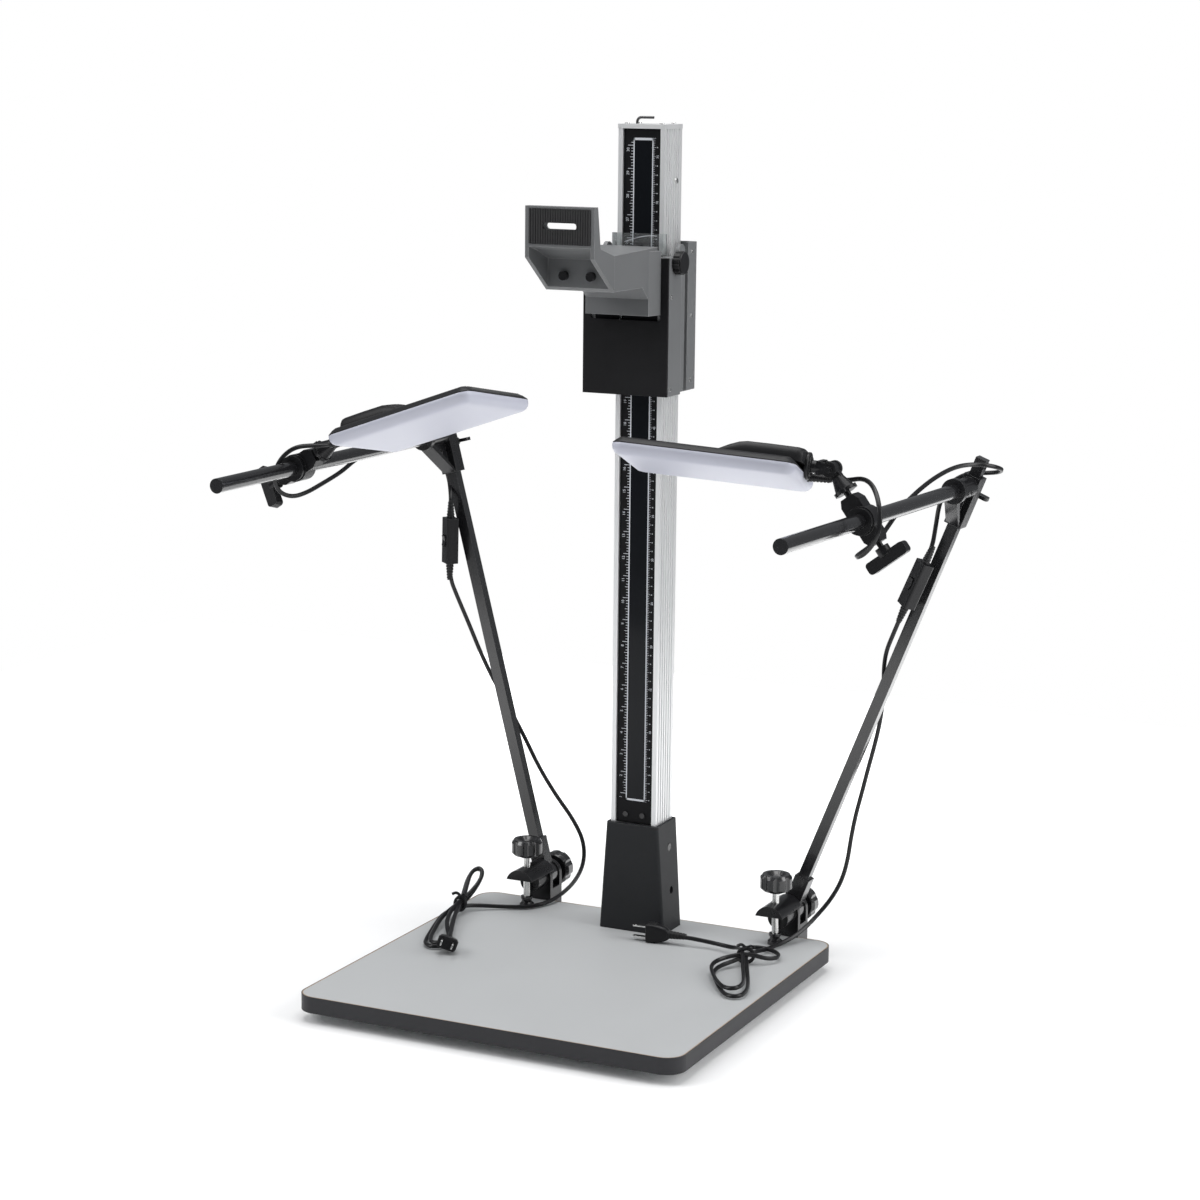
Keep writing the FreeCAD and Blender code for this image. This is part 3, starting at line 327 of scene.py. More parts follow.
def finish(name, colour, rough, metallic=0.0, vary=0.12, grain=900, bump=0.02, mottle=18, stretch=(1, 1, 1),
           wear=None, round_by=0.35, coat=0.0, coat_rough=0.1, level=0.5, swing=0.12, translucent=0.0):
    """A finish with mottled colour, a fine grain in bump and roughness, rounded edges and worn edges."""
    made = bpy.data.materials.new(name)
    made.use_nodes = True
    tree = made.node_tree
    shader = tree.nodes["Principled BSDF"]
    shader.inputs["Metallic"].default_value = metallic
    shader.inputs["Coat Weight"].default_value = coat
    shader.inputs["Coat Roughness"].default_value = coat_rough
    shader.inputs["Specular IOR Level"].default_value = level
    if translucent:
        shader.inputs["Subsurface Weight"].default_value = translucent
        shader.inputs["Subsurface Radius"].default_value = (0.004, 0.004, 0.005)
    place = tree.nodes.new("ShaderNodeTexCoord").outputs["Object"]
    broad = noise(tree, place, mottle, 4.0, stretch)
    fine = noise(tree, place, grain, 2.0, stretch)
    tone = maths(tree, "ADD", maths(tree, "MULTIPLY", broad, BROAD_SHARE),
                 maths(tree, "MULTIPLY", fine, 1 - BROAD_SHARE))
    body = mixed(tree, tone, shade(colour, 1 - vary), shade(colour, 1 + vary))
    edges = node(tree, "ShaderNodeBevel", Radius=round_by * MM)
    edges.samples = 4
    flat = tree.nodes.new("ShaderNodeNewGeometry").outputs["Normal"]
    same = tree.nodes.new("ShaderNodeVectorMath")
    same.operation = "DOT_PRODUCT"
    tree.links.new(edges.outputs[0], same.inputs[0])
    tree.links.new(flat, same.inputs[1])
    worn = maths(tree, "SUBTRACT", 1.0, same.outputs["Value"])
    worn = maths(tree, "MULTIPLY", worn, maths(tree, "MULTIPLY", maths(tree, "POWER", broad, 2.0), WEAR_GAIN))
    clamp = tree.nodes.new("ShaderNodeClamp")
    tree.links.new(worn, clamp.inputs["Value"])
    body = mixed(tree, clamp.outputs[0], body, wear or shade(colour, WEAR_LIGHTER))
    tree.links.new(body, shader.inputs["Base Color"])
    gloss = maths(tree, "ADD", rough - swing / 2, maths(tree, "MULTIPLY", broad, swing))
    gloss = maths(tree, "ADD", gloss, maths(tree, "MULTIPLY", fine, swing * GRAIN_IN_GLOSS))
    tree.links.new(gloss, shader.inputs["Roughness"])
    relief = node(tree, "ShaderNodeBump", Strength=1.0, Distance=bump * MM)
    tree.links.new(fine, relief.inputs["Height"])
    tree.links.new(edges.outputs[0], relief.inputs["Normal"])
    tree.links.new(relief.outputs[0], shader.inputs["Normal"])
    return made


def banded(name, low, high, axis, start, end):
    """Two finishes on one piece: high between two planes across an axis, in metres, and low elsewhere."""
    made = low.copy()
    made.name = name
    tree = made.node_tree
    place = tree.nodes.new("ShaderNodeTexCoord").outputs["Object"]
    dot = tree.nodes.new("ShaderNodeVectorMath")
    dot.operation = "DOT_PRODUCT"
    tree.links.new(place, dot.inputs[0])
    dot.inputs[1].default_value = axis
    above = maths(tree, "MULTIPLY", maths(tree, "GREATER_THAN", dot.outputs["Value"], start),
                  maths(tree, "LESS_THAN", dot.outputs["Value"], end))
    shader = tree.nodes["Principled BSDF"]
    for socket in ("Base Color", "Roughness"):
        link = shader.inputs[socket].links[0]
        before = link.from_socket
        if socket == "Base Color":
            tree.links.new(mixed(tree, above, before, tuple(high["tint"])), shader.inputs[socket])
        else:
            other = maths(tree, "MULTIPLY", above, float(high["rough"]))
            rest = maths(tree, "MULTIPLY", maths(tree, "SUBTRACT", 1.0, above), before)
            tree.links.new(maths(tree, "ADD", rest, other), shader.inputs[socket])
    metal = maths(tree, "ADD", maths(tree, "MULTIPLY", above, high["metallic"] - low["metallic"]),
                  float(low["metallic"]))
    tree.links.new(metal, shader.inputs["Metallic"])
    return made


def make(name, colour, rough, metallic=0.0, **detail):
    made = finish(name, colour, rough, metallic, **detail)
    made["tint"] = colour
    made["rough"] = rough
    made["metallic"] = metallic
    return made


FINISH = {
    "laminate_top": make("laminate_top", (0.46, 0.47, 0.475), 0.40, vary=0.05, grain=700, bump=0.012,
                         mottle=9, round_by=0.3),
    "edge_dark": make("edge_dark", (0.034, 0.034, 0.037), 0.42, level=0.2, vary=0.2, bump=0.02,
                      wear=(0.10, 0.10, 0.10)),
    "rubber_black": make("rubber_black", (0.017, 0.017, 0.018), 0.6, vary=0.25, grain=500, bump=0.05,
                         wear=(0.05, 0.05, 0.05)),
    "column_silver": make("column_silver", (0.76, 0.765, 0.77), 0.38, 0.6, vary=0.06, grain=420, bump=0.012,
                          stretch=(1, 1, 0.03), mottle=30, wear=(0.86, 0.86, 0.86)),
    "scale_black": make("scale_black", (0.008, 0.008, 0.009), 0.38, vary=0.2, grain=800, bump=0.01, level=0.1,
                        wear=(0.04, 0.04, 0.04)),
    "cast_charcoal": make("cast_charcoal", (0.020, 0.021, 0.023), 0.5, level=0.2, vary=0.22, grain=650,
                          bump=0.09, round_by=0.8, wear=(0.11, 0.11, 0.11)),
    "cast_grey": make("cast_grey", (0.15, 0.154, 0.158), 0.42, 0.2, vary=0.09, grain=600, bump=0.05,
                      round_by=0.9, wear=(0.42, 0.42, 0.42)),
    "steel_bright": make("steel_bright", (0.66, 0.66, 0.65), 0.24, 1.0, vary=0.1, grain=900, bump=0.01,
                         wear=(0.85, 0.85, 0.84)),
    "steel_black": make("steel_black", (0.010, 0.010, 0.011), 0.2, vary=0.2, grain=500, bump=0.01,
                        stretch=(1, 0.15, 1), level=0.5, coat=0.5, wear=(0.12, 0.12, 0.12)),
    "cast_black": make("cast_black", (0.009, 0.009, 0.010), 0.26, vary=0.25, grain=600, bump=0.05,
                       round_by=0.7, level=0.3, coat=0.2, coat_rough=0.18, wear=(0.12, 0.12, 0.12)),
    "plastic_black": make("plastic_black", (0.008, 0.008, 0.009), 0.30, level=0.25, vary=0.25, grain=800,
                          bump=0.03, round_by=0.6, wear=(0.07, 0.07, 0.07)),
    "light_body": make("light_body", (0.010, 0.010, 0.011), 0.42, level=0.25, vary=0.2, grain=900, bump=0.04,
                       round_by=0.4, wear=(0.10, 0.10, 0.10)),
    "light_tray": make("light_tray", (0.44, 0.45, 0.52), 0.38, vary=0.02, grain=500, bump=0.006, mottle=8,
                       wear=(0.6, 0.6, 0.68), translucent=0.12),
    "led_white": make("led_white", (0.8, 0.8, 0.78), 0.5, vary=0.04),
    "flex_black": make("flex_black", (0.008, 0.008, 0.009), 0.3, level=0.35, vary=0.25, grain=700, bump=0.02,
                       mottle=60, round_by=0.1, wear=(0.04, 0.04, 0.04)),
}
# the cursor's clear sheet, with faint upright scratches in its gloss and tint
CLEAR = bpy.data.materials.new("clear")
CLEAR.use_nodes = True
clear_tree = CLEAR.node_tree
clear_shader = clear_tree.nodes["Principled BSDF"]
clear_shader.inputs["Transmission Weight"].default_value = 0.95
clear_shader.inputs["IOR"].default_value = 1.45
clear_shader.inputs["Coat Weight"].default_value = 0.2
clear_place = clear_tree.nodes.new("ShaderNodeTexCoord").outputs["Object"]
scratches = noise(clear_tree, clear_place, 160, 4.0, (1, 1, 0.1))
clear_tree.links.new(mixed(clear_tree, scratches, (0.88, 0.92, 0.92), (0.97, 0.99, 0.99)),
                     clear_shader.inputs["Base Color"])
clear_tree.links.new(maths(clear_tree, "MULTIPLY", scratches, 0.16), clear_shader.inputs["Roughness"])
FINISH["clear"] = CLEAR
GRIP_BLACK = make("grip_black", (0.010, 0.010, 0.011), 0.2, vary=0.25, grain=500, bump=0.012, round_by=1.0,
                  coat=0.6, coat_rough=0.08, wear=(0.03, 0.03, 0.03))
PLATE_BLACK = make("plate_black", (0.011, 0.011, 0.012), 0.42, vary=0.3, grain=420, bump=0.03, round_by=0.6,
                   mottle=30, level=0.12, wear=(0.06, 0.06, 0.06))
MARK_WHITE = make("mark_white", (0.62, 0.64, 0.68), 0.5, vary=0.12, grain=1500, bump=0.01, mottle=120)
GLOSS_STRIP = make("gloss_strip", (0.004, 0.005, 0.007), 0.2, vary=0.3, grain=300, bump=0.004, coat=0.08,
                   coat_rough=0.05, level=0.12)
CORE_TAN = make("core_tan", (0.36, 0.27, 0.19), 0.7, vary=0.3, grain=900, bump=0.06)
# flat black for painted shade: the sheet behind the carriage's slot, where the inside lies in shade
PAINTED_SHADE_BLACK = make("painted_shade_black", (0.006, 0.006, 0.007), 0.8, vary=0.2, level=0.1)


def coat_with(piece, material):
    piece.data.materials.clear()
    piece.data.materials.append(material)


for name, item in PARTS.items():
    coat_with(item, FINISH[item.data.materials[0].name.split(".")[0]])
# a clamp screw is bright between its foot and its grip
CLAMP_SCREW = banded("clamp_screw_finish", GRIP_BLACK, FINISH["steel_bright"], (0, 0, 1), 0.0135, 0.0605)
for side in SIDES:
    coat_with(PARTS["clamp_screw_" + side], CLAMP_SCREW)
    coat_with(PARTS["pivot_knob_" + side], GRIP_BLACK)
# the camera bracket's screws are black, and the carriage's other screws, farther back, are bright
SOCKET_SCREWS = banded("socket_screw_finish", FINISH["steel_bright"], FINISH["steel_black"], (0, 1, 0),
                       -0.05, 0.06)
coat_with(PARTS["carriage_screws"], SOCKET_SCREWS)
# the screws near the foot are black, and those at the column's top are bright
STAND_SCREWS = banded("stand_screw_finish", FINISH["steel_bright"], FINISH["steel_black"], (0, 0, 1),
                      -0.05, 0.2)
coat_with(PARTS["stand_screws"], STAND_SCREWS)
coat_with(PARTS["front_plate"], PLATE_BLACK)


# ------------------------------------------------------------------ frames of the two lights

JOINTS = {joint["name"]: joint for joint in frame["joints"]}


def panel_frame(side):
    """X along the panel, Z out of its ribbed back, origin on the swivel's pin."""
    name = "light_%s_roll" % side
    x = Vector(JOINTS[name]["axis"]).normalized()
    board = PARTS["led_board_" + side].data
    largest = max(board.polygons, key=lambda face: face.area)
    z = largest.normal.copy()
    z = (z - x * z.dot(x)).normalized()
    if z.z < 0:
        z = -z
    turn = Matrix((x, z.cross(x), z)).transposed().to_4x4()
    return Matrix.Translation(Vector(JOINTS[name]["pos_m"])) @ turn


def rounded_ring(long, wide, corner, steps=7):
    """Points of a rectangle with round corners, centred, in mm."""
    ring = []
    for quarter, (sx, sy) in enumerate(((1, 1), (-1, 1), (-1, -1), (1, -1))):
        centre = (sx * (long / 2 - corner), sy * (wide / 2 - corner))
        for k in range(steps):
            angle = math.pi / 2 * (quarter + k / (steps - 1))
            ring.append((centre[0] + corner * math.cos(angle), centre[1] + corner * math.sin(angle)))
    return ring


def loft(shape, rings, place, first_cap=True, last_cap=True):
    """Skin closed rings of points in mm."""
    made = [[shape.verts.new(place @ (Vector(point) * MM)) for point in ring] for ring in rings]
    count = len(made[0])
    for low, high in zip(made, made[1:]):
        for k in range(count):
            after = (k + 1) % count
            shape.faces.new((low[k], low[after], high[after], high[k]))
    if first_cap:
        shape.faces.new(list(reversed(made[0])))
    if last_cap:
        shape.faces.new(made[-1])


LAMP_LONG, LAMP_WIDE, LAMP_GAP, LAMP_CORNER = 190, 118, 26, 12
LAMP_MIDDLE = LAMP_GAP + LAMP_LONG / 2
FRAME_TOP, SEAM, TRAY_LOW = -0.5, -8, -19.5
LID_SLOPE = math.radians(38.8)
# the ribs along the lid stop short of its ends, or beyond the driver housing where they meet it
RIB_COUNT, RIB_PITCH, RIB_WIDE, RIB_TALL, RIB_END_GAP = 17, 5.5, 2.0, 1.5, 9
DRIVER_END, DRIVER_HALF = 122, 33
# the fine fins down the bevel of the far end
FIN_COUNT, FIN_PITCH, FIN_SIZE = 30, 3, (9.4, 1.3, 1.5)
# the housing's shoulders, and its grooved and crowned roof, whose depths are full at one height
SHOULDER_STEPS, SHOULDER_IN, SHOULDER_FOOT = 6, 6, 0.35
ROOF_INSET, ROOF_RIBS, GROOVE_DEEP, ROOF_CROWN, ROOF_FULL = 7, 10, 1.1, 2.4, 13
# place along the panel, height and half width of the driver housing, from the handle's end
DRIVER_SECTIONS = ((25.4, 9, 26), (26.2, 12, 28.5), (28.5, 13.6, 30), (33, 14.2, 31), (60, 14.4, 31.5),
                   (84, 14.2, 31.5), (92, 12.8, 31.2), (102, 9, 30.5), (111, 4.5, 29.5), (117, 1.2, 28.5))


def relief_profile(start, end, wide, narrow, grooves=6):
    """Radius and height along a tapered, ribbed strain relief."""
    profile = []
    for k in range(grooves):
        for share, cut in ((0, 0), (0.55, 0), (0.6, 0.6), (0.95, 0.6)):
            along = (k + share) / grooves
            profile.append((wide + (narrow - wide) * along - cut, start + (end - start) * along))
    return profile + [(narrow, end)]


def lamp_ring(inset, z):
    ring = rounded_ring(LAMP_LONG - 2 * inset, LAMP_WIDE - 2 * inset, LAMP_CORNER - min(inset, 8))
    return [(x + LAMP_MIDDLE, y, z) for x, y in ring]


def driver_section(x, height, half):
    """One cross section of the driver housing: rounded shoulders and a grooved roof."""
    points = [(x, -half, FRAME_TOP - 0.6)]
    for k in range(SHOULDER_STEPS + 1):
        angle = math.pi / 2 * k / SHOULDER_STEPS
        lean = half - SHOULDER_IN * (1 - math.cos(angle))
        rise = SHOULDER_FOOT + (1 - SHOULDER_FOOT) * math.sin(angle)
        points.append((x, -lean, FRAME_TOP + height * rise))
    side_points = list(points)
    flat = half - ROOF_INSET
    for k in range(ROOF_RIBS * 4):
        y = -flat + 2 * flat * k / (ROOF_RIBS * 4 - 1)
        dip = GROOVE_DEEP if k % 4 in (2, 3) else 0.0
        crown = ROOF_CROWN * (1 - (y / flat) ** 2)
        points.append((x, y, FRAME_TOP + height + (crown - dip) * height / ROOF_FULL))
    points += [(px, -py, pz) for px, py, pz in reversed(side_points)]
    return points


def make_lamp(side):
    place = panel_frame(side)
    body = bmesh.new()
    # lid: bevelled all round, narrower than the tray below it
    loft(body, [lamp_ring(2.6, SEAM - 2), lamp_ring(0.3, SEAM), lamp_ring(0.3, SEAM + 0.8),
                lamp_ring(4.5, -3.2), lamp_ring(8, -1), lamp_ring(10, -0.8)], place, first_cap=False)
    for k in range(RIB_COUNT):
        y = RIB_PITCH * (k - (RIB_COUNT - 1) / 2)
        start = DRIVER_END if abs(y) < DRIVER_HALF else LAMP_GAP + RIB_END_GAP
        end = LAMP_GAP + LAMP_LONG - RIB_END_GAP
        block(body, (end - start, RIB_WIDE, RIB_TALL), ((start + end) / 2, y, FRAME_TOP - 0.35), place, 0.5)
    slope = place @ Matrix.Translation(Vector((LAMP_GAP + LAMP_LONG - 4.3, 0, -3.9)) * MM)
    slope = slope @ Matrix.Rotation(LID_SLOPE, 4, "Y")
    for k in range(FIN_COUNT):
        block(body, FIN_SIZE, (0, FIN_PITCH * (k - (FIN_COUNT - 1) / 2), 0), slope, 0.35, 1)
    loft(body, [driver_section(*section) for section in DRIVER_SECTIONS], place)
    # the collar that joins the lamp to its swivel
    along = place @ Matrix.Rotation(math.pi / 2, 4, "Y")
    lathe(body, [(0, 20.8), (9.5, 20.8), (10, 21.2), (10, 22.2), (13.4, 22.4), (14, 23), (14, 25.2),
                 (12.4, 25.5), (12.4, 26.6), (0, 26.6)], along)
    # the gland where the flex leaves the lamp
    gland = place @ Matrix.Translation(Vector((0, -20, -8)) * MM) @ Matrix.Rotation(math.pi / 2, 4, "Y")
    relief = relief_profile(24.6, 2.6, 4.6, 3.5)
    lathe(body, [(0, 28), (5, 28), (5, 25.4), (4.6, 25), *relief, (0, 2.6)], gland, 28)
    housing = from_bmesh("lamp_shell_" + side, body, 32)
    coat_with(housing, FINISH["light_body"])
    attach(housing, "light_" + side)
    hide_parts("lamp_housing_" + side)

    pane = bmesh.new()
    loft(pane, [lamp_ring(0.6, SEAM), lamp_ring(0, SEAM - 1.2), lamp_ring(0.2, -11.5), lamp_ring(1.2, -14.5),
                lamp_ring(3.2, -17), lamp_ring(6, -18.6), lamp_ring(9.5, -19.3), lamp_ring(15, TRAY_LOW)],
         place, first_cap=False)
    tray = from_bmesh("lamp_pane_" + side, pane, 60)
    coat_with(tray, FINISH["light_tray"])
    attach(tray, "light_" + side)
    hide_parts("diffuser_" + side)


for side in SIDES:
    make_lamp(side)


# ------------------------------------------------------------------ printed scale

PANEL_FACE = 157.7
OUTLINE = {"left": -10.9, "right": 13.2, "low": 154.5, "high": 907}
BORDER_SIDE, BORDER_TOP, BORDER_LOW = 1.3, 2.6, 2.2
INCH, INCH_ZERO = 25.4, 136.71
# how far ticks reach from the border, and half their widths
INCH_TICK, HALF_INCH_TICK, EIGHTH_TICK, EIGHTH_HALF = 6.6, 4.0, 2.6, 0.28
CENTIMETRE_TICK, METRIC_TICK, METRIC_HALF, METRIC_STEP = 3.2, 1.9, 0.17, 2
INCH_FIGURE, CENTIMETRE_FIGURE = 4.6, 3.8


def plate_bar(shape, left, right, low, high, proud=0.12):
    """A thin printed bar on the front of the scale."""
    middle = ((left + right) / 2, PANEL_FACE - proud / 2 - 0.02, (low + high) / 2)
    block(shape, (right - left, proud, high - low), middle)


def figure(shape, text, x, z, tall):
    """A number printed up the column, read from the right."""
    curve = bpy.data.curves.new("figure", "FONT")
    curve.body = text
    curve.size = tall * MM
    curve.extrude = 0.05 * MM
    curve.align_x = "CENTER"
    curve.align_y = "CENTER"
    curve.resolution_u = 3
    holder = bpy.data.objects.new("figure", curve)
    flat = bpy.data.meshes.new_from_object(holder)
    turn = Matrix.Rotation(math.pi / 2, 4, "X") @ Matrix.Rotation(math.pi / 2, 4, "Z")
    flat.transform(Matrix.Translation(Vector((x, PANEL_FACE - 0.08, z)) * MM) @ turn)
    shape.from_mesh(flat)
    bpy.data.objects.remove(holder)
    bpy.data.curves.remove(curve)
    bpy.data.meshes.remove(flat)


def make_scale():
    shape = bmesh.new()
    left, right, low, high = OUTLINE["left"], OUTLINE["right"], OUTLINE["low"], OUTLINE["high"]
    plate_bar(shape, left, left + BORDER_SIDE, low, high)
    plate_bar(shape, right - BORDER_SIDE, right, low, high)
    plate_bar(shape, left, right, high - BORDER_TOP, high)
    plate_bar(shape, left, right, low, low + BORDER_LOW)
    inches = int((high - INCH_ZERO) / INCH)
    for eighth in range(8, 8 * inches + 2):
        z = INCH_ZERO + INCH * eighth / 8
        if low < z < high:
            reach = INCH_TICK if eighth % 8 == 0 else (HALF_INCH_TICK if eighth % 4 == 0 else EIGHTH_TICK)
            plate_bar(shape, left - reach, left, z - EIGHTH_HALF, z + EIGHTH_HALF)
    for inch in range(1, inches + 1):
        figure(shape, str(inch), left - 6.4, INCH_ZERO + INCH * inch - 4.8, INCH_FIGURE)
    for step in range(1, int((high - INCH_ZERO) / METRIC_STEP) + 1):
        z = INCH_ZERO + METRIC_STEP * step
        if low < z < high:
            reach = CENTIMETRE_TICK if step % 5 == 0 else METRIC_TICK
            plate_bar(shape, right, right + reach, z - METRIC_HALF, z + METRIC_HALF)
    for whole in range(2, int((high - INCH_ZERO) / 10)):
        z = INCH_ZERO + 10 * whole
        if whole % 5 == 0:
            figure(shape, str(whole), right + 5.6, z, CENTIMETRE_FIGURE)
        else:
            plate_bar(shape, right + 4.4, right + 5.5, z - 0.5, z + 0.5)
    marks = from_bmesh("scale_marks", shape, 30)
    coat_with(marks, MARK_WHITE)
    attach(marks, "stand")
    strip = bmesh.new()
    block(strip, (right - left - 3.4, 0.1, high - low - 6),
          ((left + right) / 2, PANEL_FACE - 0.06, (low + high) / 2))
    gloss = from_bmesh("scale_gloss_strip", strip, 30)
    coat_with(gloss, GLOSS_STRIP)
    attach(gloss, "stand")


make_scale()


# ------------------------------------------------------------------ carriage details

# the slot in the front plate, the gap left in the sheet of painted shade behind it, and where that sheet
# stands
SLOT_HALF, SLOT_GAP, SLOT_TALL = 44, (-9, -3), 12
SHADE_SHEET_Y, SLOT_Z = 121.3, 713
CURSOR_LINE = [(-6.4, 127.2, 794.8), (8, 127.2, 799.6), (20, 127.2, 802), (30, 127.2, 802.2),
               (32.4, 127.2, 802)]
CURSOR_LINE_WIDE, CURSOR_LINE_THICK = 0.9 * MM, 0.5 * MM


def make_slot_backing():
    """A black sheet of painted shade behind the front plate's slot, standing in for the shaded inside of the
    carriage, with a gap left in it.
    """
    shape = bmesh.new()
    for left, right in ((-SLOT_HALF, SLOT_GAP[0]), (SLOT_GAP[1], SLOT_HALF)):
        middle = ((left + right) / 2, SHADE_SHEET_Y, SLOT_Z)
        block(shape, (right - left, 1, SLOT_TALL), middle, bevel=0.2, segments=1)
    shade_sheet = from_bmesh("slot_painted_shade", shape, 30)
    coat_with(shade_sheet, PAINTED_SHADE_BLACK)
    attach(shade_sheet, "carriage")


def make_cursor_line():
    """The white line printed along the cursor's upper edge."""
    shape = bmesh.new()
    path = spline_path([Vector(point) * MM for point in CURSOR_LINE], 8)
    sweep(shape, path, twin_outline(CURSOR_LINE_WIDE, CURSOR_LINE_THICK, 4))
    line = from_bmesh("cursor_line", shape, 60)
    coat_with(line, MARK_WHITE)
    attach(line, "carriage")


make_slot_backing()
make_cursor_line()


# ------------------------------------------------------------------ board edge

BOARD_WIDE, BOARD_DEEP, BOARD_CORNER = 452, 441, 22
# how far in from the board's edge and how high each corner of the line's section is
CORE_SECTION = ((0.9, -0.3), (0.9, 0.1), (1.9, 0.1), (1.9, -0.3))


def make_core_line():
    """The cut edge of the board's core, a thin tan line round the top."""
    shape = bmesh.new()
    rings = []
    for inset, z in CORE_SECTION:
        outline = rounded_ring(BOARD_WIDE - 2 * inset, BOARD_DEEP - 2 * inset, BOARD_CORNER - inset)
        rings.append([(x, y, z) for x, y in outline])
    loft(shape, rings + [rings[0]], Matrix.Identity(4), False, False)
    bmesh.ops.remove_doubles(shape, verts=shape.verts, dist=1e-6)
    line = from_bmesh("core_line", shape, 30)
    coat_with(line, CORE_TAN)
    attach(line, "stand")


make_core_line()


# ------------------------------------------------------------------ plugs, reliefs and ties

# where the middle of each plug's face is, and its heading, pitch and roll in degrees
PLUGS = {"left": ((-145, -25, 14), 26, -11, 20), "right": ((33, 126, 11.2), -86, 0, 90)}
# how far behind its face each section of a plug is, its width, height and corner radius
PLUG_SECTIONS = ((0, 20.4, 13.4, 2.6), (0.8, 22, 15, 3.2), (9, 22, 15, 4), (14, 20.8, 14, 4.6),
                 (19, 18.5, 12.6, 5), (24, 14.5, 11, 4.6), (26.5, 10.5, 8.6, 3.8))
GRIP_RIBS, GRIP_START, GRIP_PITCH, GRIP_OUT, GRIP_SIZE = 3, 3.5, 3.2, 11.1, (0.9, 1.4, 9.5)
PRONG_APART, PRONG_THICK, PRONG_LONG, PRONG_TALL, PRONG_CORNER = 12.7, 1.5, 17.6, 6.3, 1.4
PRONG_MIDDLE, HOLE_MIDDLE = -8.4, -14
# the length of the sleeves on the inline switches
RELIEF_LONG = 20.5
# where each bow is tied, its heading in degrees, and half the tie's width and height
TIES = {"left": ((-207.5, 121, 12.5), 15, 6.2, 8.2), "right": ((166, 100, 10), 24, 9, 8)}
TIE_STRIP = (3.4 * MM, 1.1 * MM)
TIE_STEPS = 32
# how far out to one side, forward and up from the ring's top each point of a tie's end is
TIE_END = ((1.5, 1, 1.5), (4, 2, 3.5), (7, 1, 4), (10, -1, 2.5))


def make_plug(side):
    at, heading, pitch, roll = PLUGS[side]
    place = (Matrix.Translation(Vector(at) * MM) @ Matrix.Rotation(math.radians(heading), 4, "Z")
             @ Matrix.Rotation(math.radians(pitch), 4, "X") @ Matrix.Rotation(math.radians(roll), 4, "Y"))
    shape = bmesh.new()
    rings = []
    for y, wide, tall, corner in PLUG_SECTIONS:
        rings.append([(x, y, z) for x, z in rounded_ring(wide, tall, corner)])
    loft(shape, rings, place)
    for k in range(GRIP_RIBS):
        for way in (-1, 1):
            block(shape, GRIP_SIZE, (way * GRIP_OUT, GRIP_START + GRIP_PITCH * k, 0), place, 0.35, 1)
    tail = place @ Matrix.Rotation(-math.pi / 2, 4, "X")
    lathe(shape, [(0, 25), *relief_profile(25.5, 47, 5, 3.6), (0, 47)], tail, 28)
    body = from_bmesh("plug_body_" + side, shape, 35)
    coat_with(body, FINISH["plastic_black"])
    blades = bmesh.new()
    for x in (-PRONG_APART / 2, PRONG_APART / 2):
        ring = rounded_ring(PRONG_LONG, PRONG_TALL, PRONG_CORNER, 5)
        faces = (x - PRONG_THICK / 2, x + PRONG_THICK / 2)
        loft(blades, [[(face, y + PRONG_MIDDLE, z) for y, z in ring] for face in faces], place)
        hole = place @ Matrix.Translation(Vector((x, HOLE_MIDDLE, 0)) * MM)
        hole = hole @ Matrix.Rotation(math.pi / 2, 4, "Y")
        lathe(blades, [(1.0, -0.8), (1.7, -0.82), (1.7, 0.82), (1.0, 0.8), (1.0, -0.8)], hole, 20)
    prongs = from_bmesh("plug_blades_" + side, blades, 30)
    coat_with(prongs, FINISH["steel_bright"])
    for piece, slot in ((body, "plastic_black"), (prongs, "steel_bright")):
        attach(piece, "stand")
        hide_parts("plug_" + side)
    return [body, prongs]


def make_reliefs(side):
    """The tapered sleeves where the flex goes into and out of the inline switch."""
    shape = bmesh.new()
    above, top = [Vector(point) for point in LIGHT_ROUTES[side][-2:]]
    bottom, below = [Vector(point) for point in SUPPLY_ROUTES[side][:2]]
    for mouth, out in ((top, above), (bottom, below)):
        sleeve = [(0, -1), (5.2, -1), *relief_profile(0, RELIEF_LONG, 4.9, 3.2), (0, RELIEF_LONG)]
        lathe(shape, sleeve, axis_place(mouth, out - mouth), 28)
    sleeves = from_bmesh("switch_reliefs_" + side, shape, 35)
    coat_with(sleeves, FINISH["plastic_black"])
    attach(sleeves, "bracket_" + side)
    return sleeves


def make_tie(side):
    """A twist tie: a flat wire round the bow with its two ends wound together."""
    at, heading, half_wide, half_tall = TIES[side]
    place = Matrix.Translation(Vector(at)) @ Matrix.Rotation(math.radians(heading), 4, "Z")
    shape = bmesh.new()
    section = twin_outline(*TIE_STRIP, 5)
    for way, forward in ((1, -1.9), (-1, 1.9)):
        ring = []
        for k in range(TIE_STEPS + 1):
            angle = math.pi / 2 + 2 * math.pi * k / TIE_STEPS
            ahead = forward + 1.2 * k / TIE_STEPS
            ring.append((half_wide * math.cos(angle), ahead, half_tall * math.sin(angle)))
        for out, on, up in TIE_END:
            ring.append((way * out, forward + on, half_tall + up))
        path = spline_path([place @ Vector(point) * MM for point in ring], 4)
        sweep(shape, path, section, up=Vector((0.2, 1, 0)))
    tie = from_bmesh("twist_tie_" + side, shape, 60)
    coat_with(tie, FINISH["flex_black"])
    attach(tie, "stand")


for side in SIDES:
    pieces = [PARTS["switch_" + side], PARTS["rocker_" + side], make_reliefs(side)]
    cord = flex("light_cord_" + side, LIGHT_ROUTES[side], pieces)
    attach(cord, "bracket_" + side)
    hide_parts("light_flex_" + side)
    coat_with(cord, FINISH["flex_black"])
    route = SUPPLY_ROUTES[side] + BOWS[side]
    cord = flex("supply_cord_" + side, route, make_plug(side))
    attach(cord, "stand")
    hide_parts("supply_flex_" + side, "flex_hank_" + side)
    coat_with(cord, FINISH["flex_black"])
    make_tie(side)


# ------------------------------------------------------------------ studio

FLOOR_HALF = 1.6
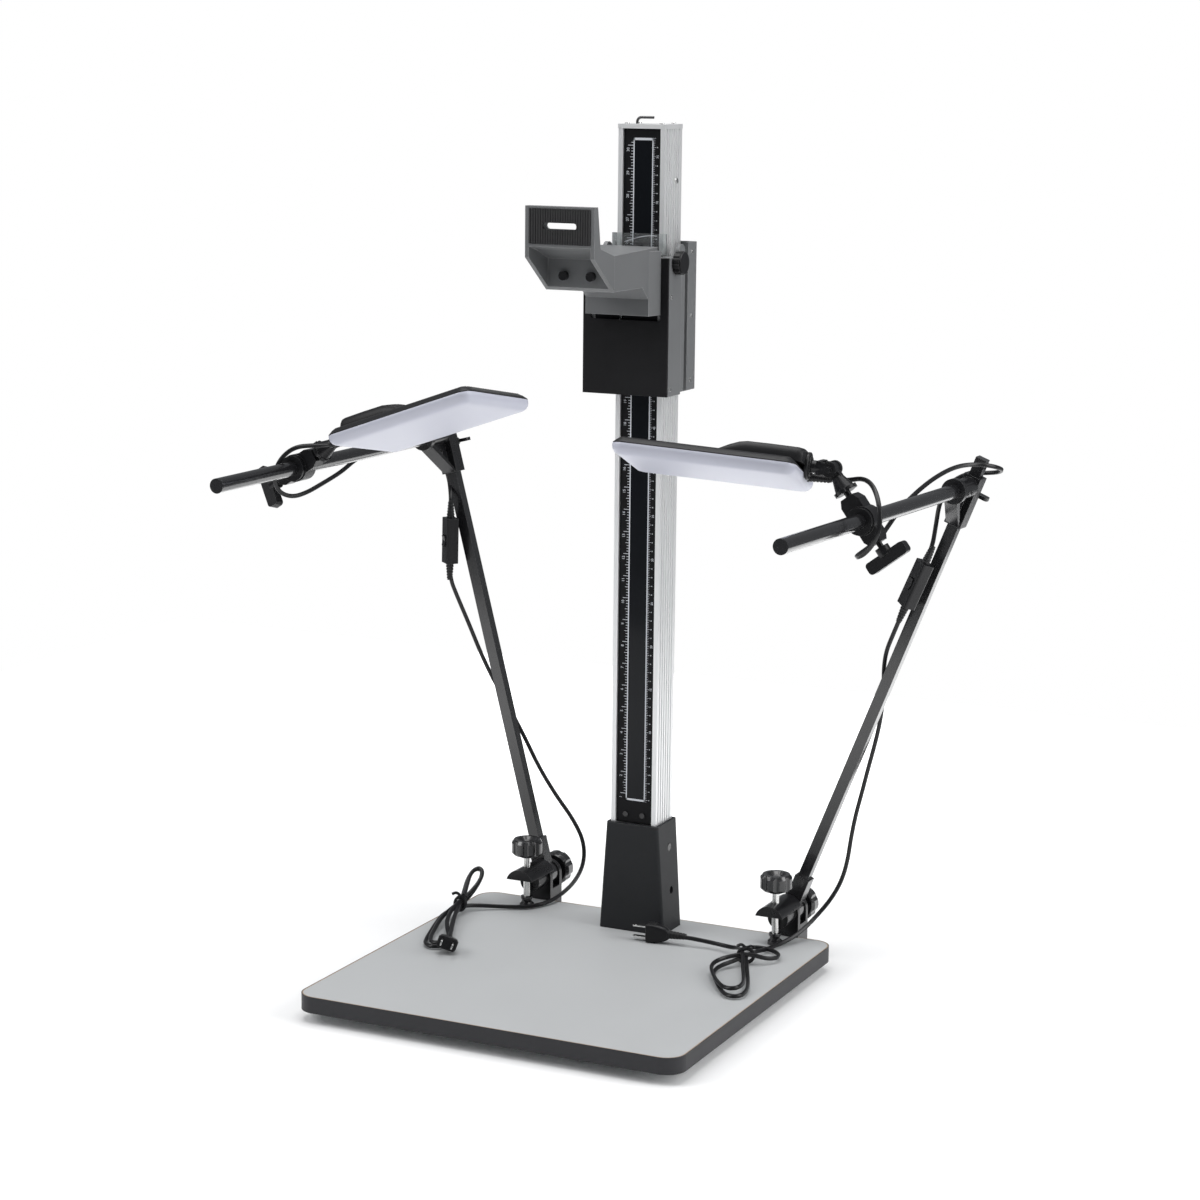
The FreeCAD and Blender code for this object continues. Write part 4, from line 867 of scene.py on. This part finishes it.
# how far from the middle the floor starts to glow, and where its glow is full
FLOOR_FADE = (0.35, 1.1)
FLOOR_GLOW = 0.85
FLOOR_GAP = 0.0002
SKY_TINT, SKY_LEVEL = (0.93, 0.96, 1, 1), 0.2
WHITE = (1, 1, 1, 1)
# name, place and size in metres, and power in watts
SOFT_LIGHTS = (("key", (-2.0, -1.6, 2.2), (1.6, 1.6), 40), ("side", (2.6, 0.2, 1.5), (1.4, 2.2), 48),
               ("top", (0, 0.1, 2.8), (2.4, 2.4), 72))


def soft_light(name, at, size, power, aim=(0, 0, 0.4)):
    data = bpy.data.lights.new(name, "AREA")
    data.shape = "RECTANGLE"
    data.size, data.size_y = size
    data.energy = power
    lamp = bpy.data.objects.new(name, data)
    bpy.context.scene.collection.objects.link(lamp)
    turn = (Vector(aim) - Vector(at)).to_track_quat("-Z", "Y").to_matrix().to_4x4()
    lamp.matrix_world = Matrix.Translation(at) @ turn


def make_studio():
    world = bpy.data.worlds.new("studio")
    world.use_nodes = True
    tree = world.node_tree
    tree.nodes["Background"].inputs[0].default_value = SKY_TINT
    tree.nodes["Background"].inputs[1].default_value = SKY_LEVEL
    backdrop = node(tree, "ShaderNodeBackground", Color=WHITE, Strength=1.0)
    choice = tree.nodes.new("ShaderNodeMixShader")
    seen = tree.nodes.new("ShaderNodeLightPath").outputs["Is Camera Ray"]
    for source, socket in ((seen, choice.inputs[0]),
                           (tree.nodes["Background"].outputs[0], choice.inputs[1]),
                           (backdrop.outputs[0], choice.inputs[2]),
                           (choice.outputs[0], tree.nodes["World Output"].inputs[0])):
        tree.links.new(source, socket)
    bpy.context.scene.world = world
    bpy.context.scene.view_settings.view_transform = "Standard"
    for light in SOFT_LIGHTS:
        soft_light(*light)
    floor_shape = bmesh.new()
    bmesh.ops.create_grid(floor_shape, x_segments=4, y_segments=4, size=FLOOR_HALF)
    bmesh.ops.translate(floor_shape, verts=floor_shape.verts, vec=(0, 0, BOARD_FLOOR - FLOOR_GAP))
    floor = from_bmesh("floor", floor_shape)
    paper = finish("floor_white", (0.93, 0.93, 0.93), 0.7, vary=0.01, grain=60, bump=0.01, mottle=3)
    tree = paper.node_tree
    away = tree.nodes.new("ShaderNodeVectorMath")
    away.operation = "LENGTH"
    tree.links.new(tree.nodes.new("ShaderNodeTexCoord").outputs["Object"], away.inputs[0])
    glow = node(tree, "ShaderNodeMapRange", From_Min=FLOOR_FADE[0], From_Max=FLOOR_FADE[1],
                To_Max=FLOOR_GLOW)
    glow.interpolation_type = "SMOOTHSTEP"
    tree.links.new(away.outputs["Value"], glow.inputs["Value"])
    shader = tree.nodes["Principled BSDF"]
    shader.inputs["Emission Color"].default_value = WHITE
    tree.links.new(glow.outputs["Result"], shader.inputs["Emission Strength"])
    coat_with(floor, paper)


make_studio()
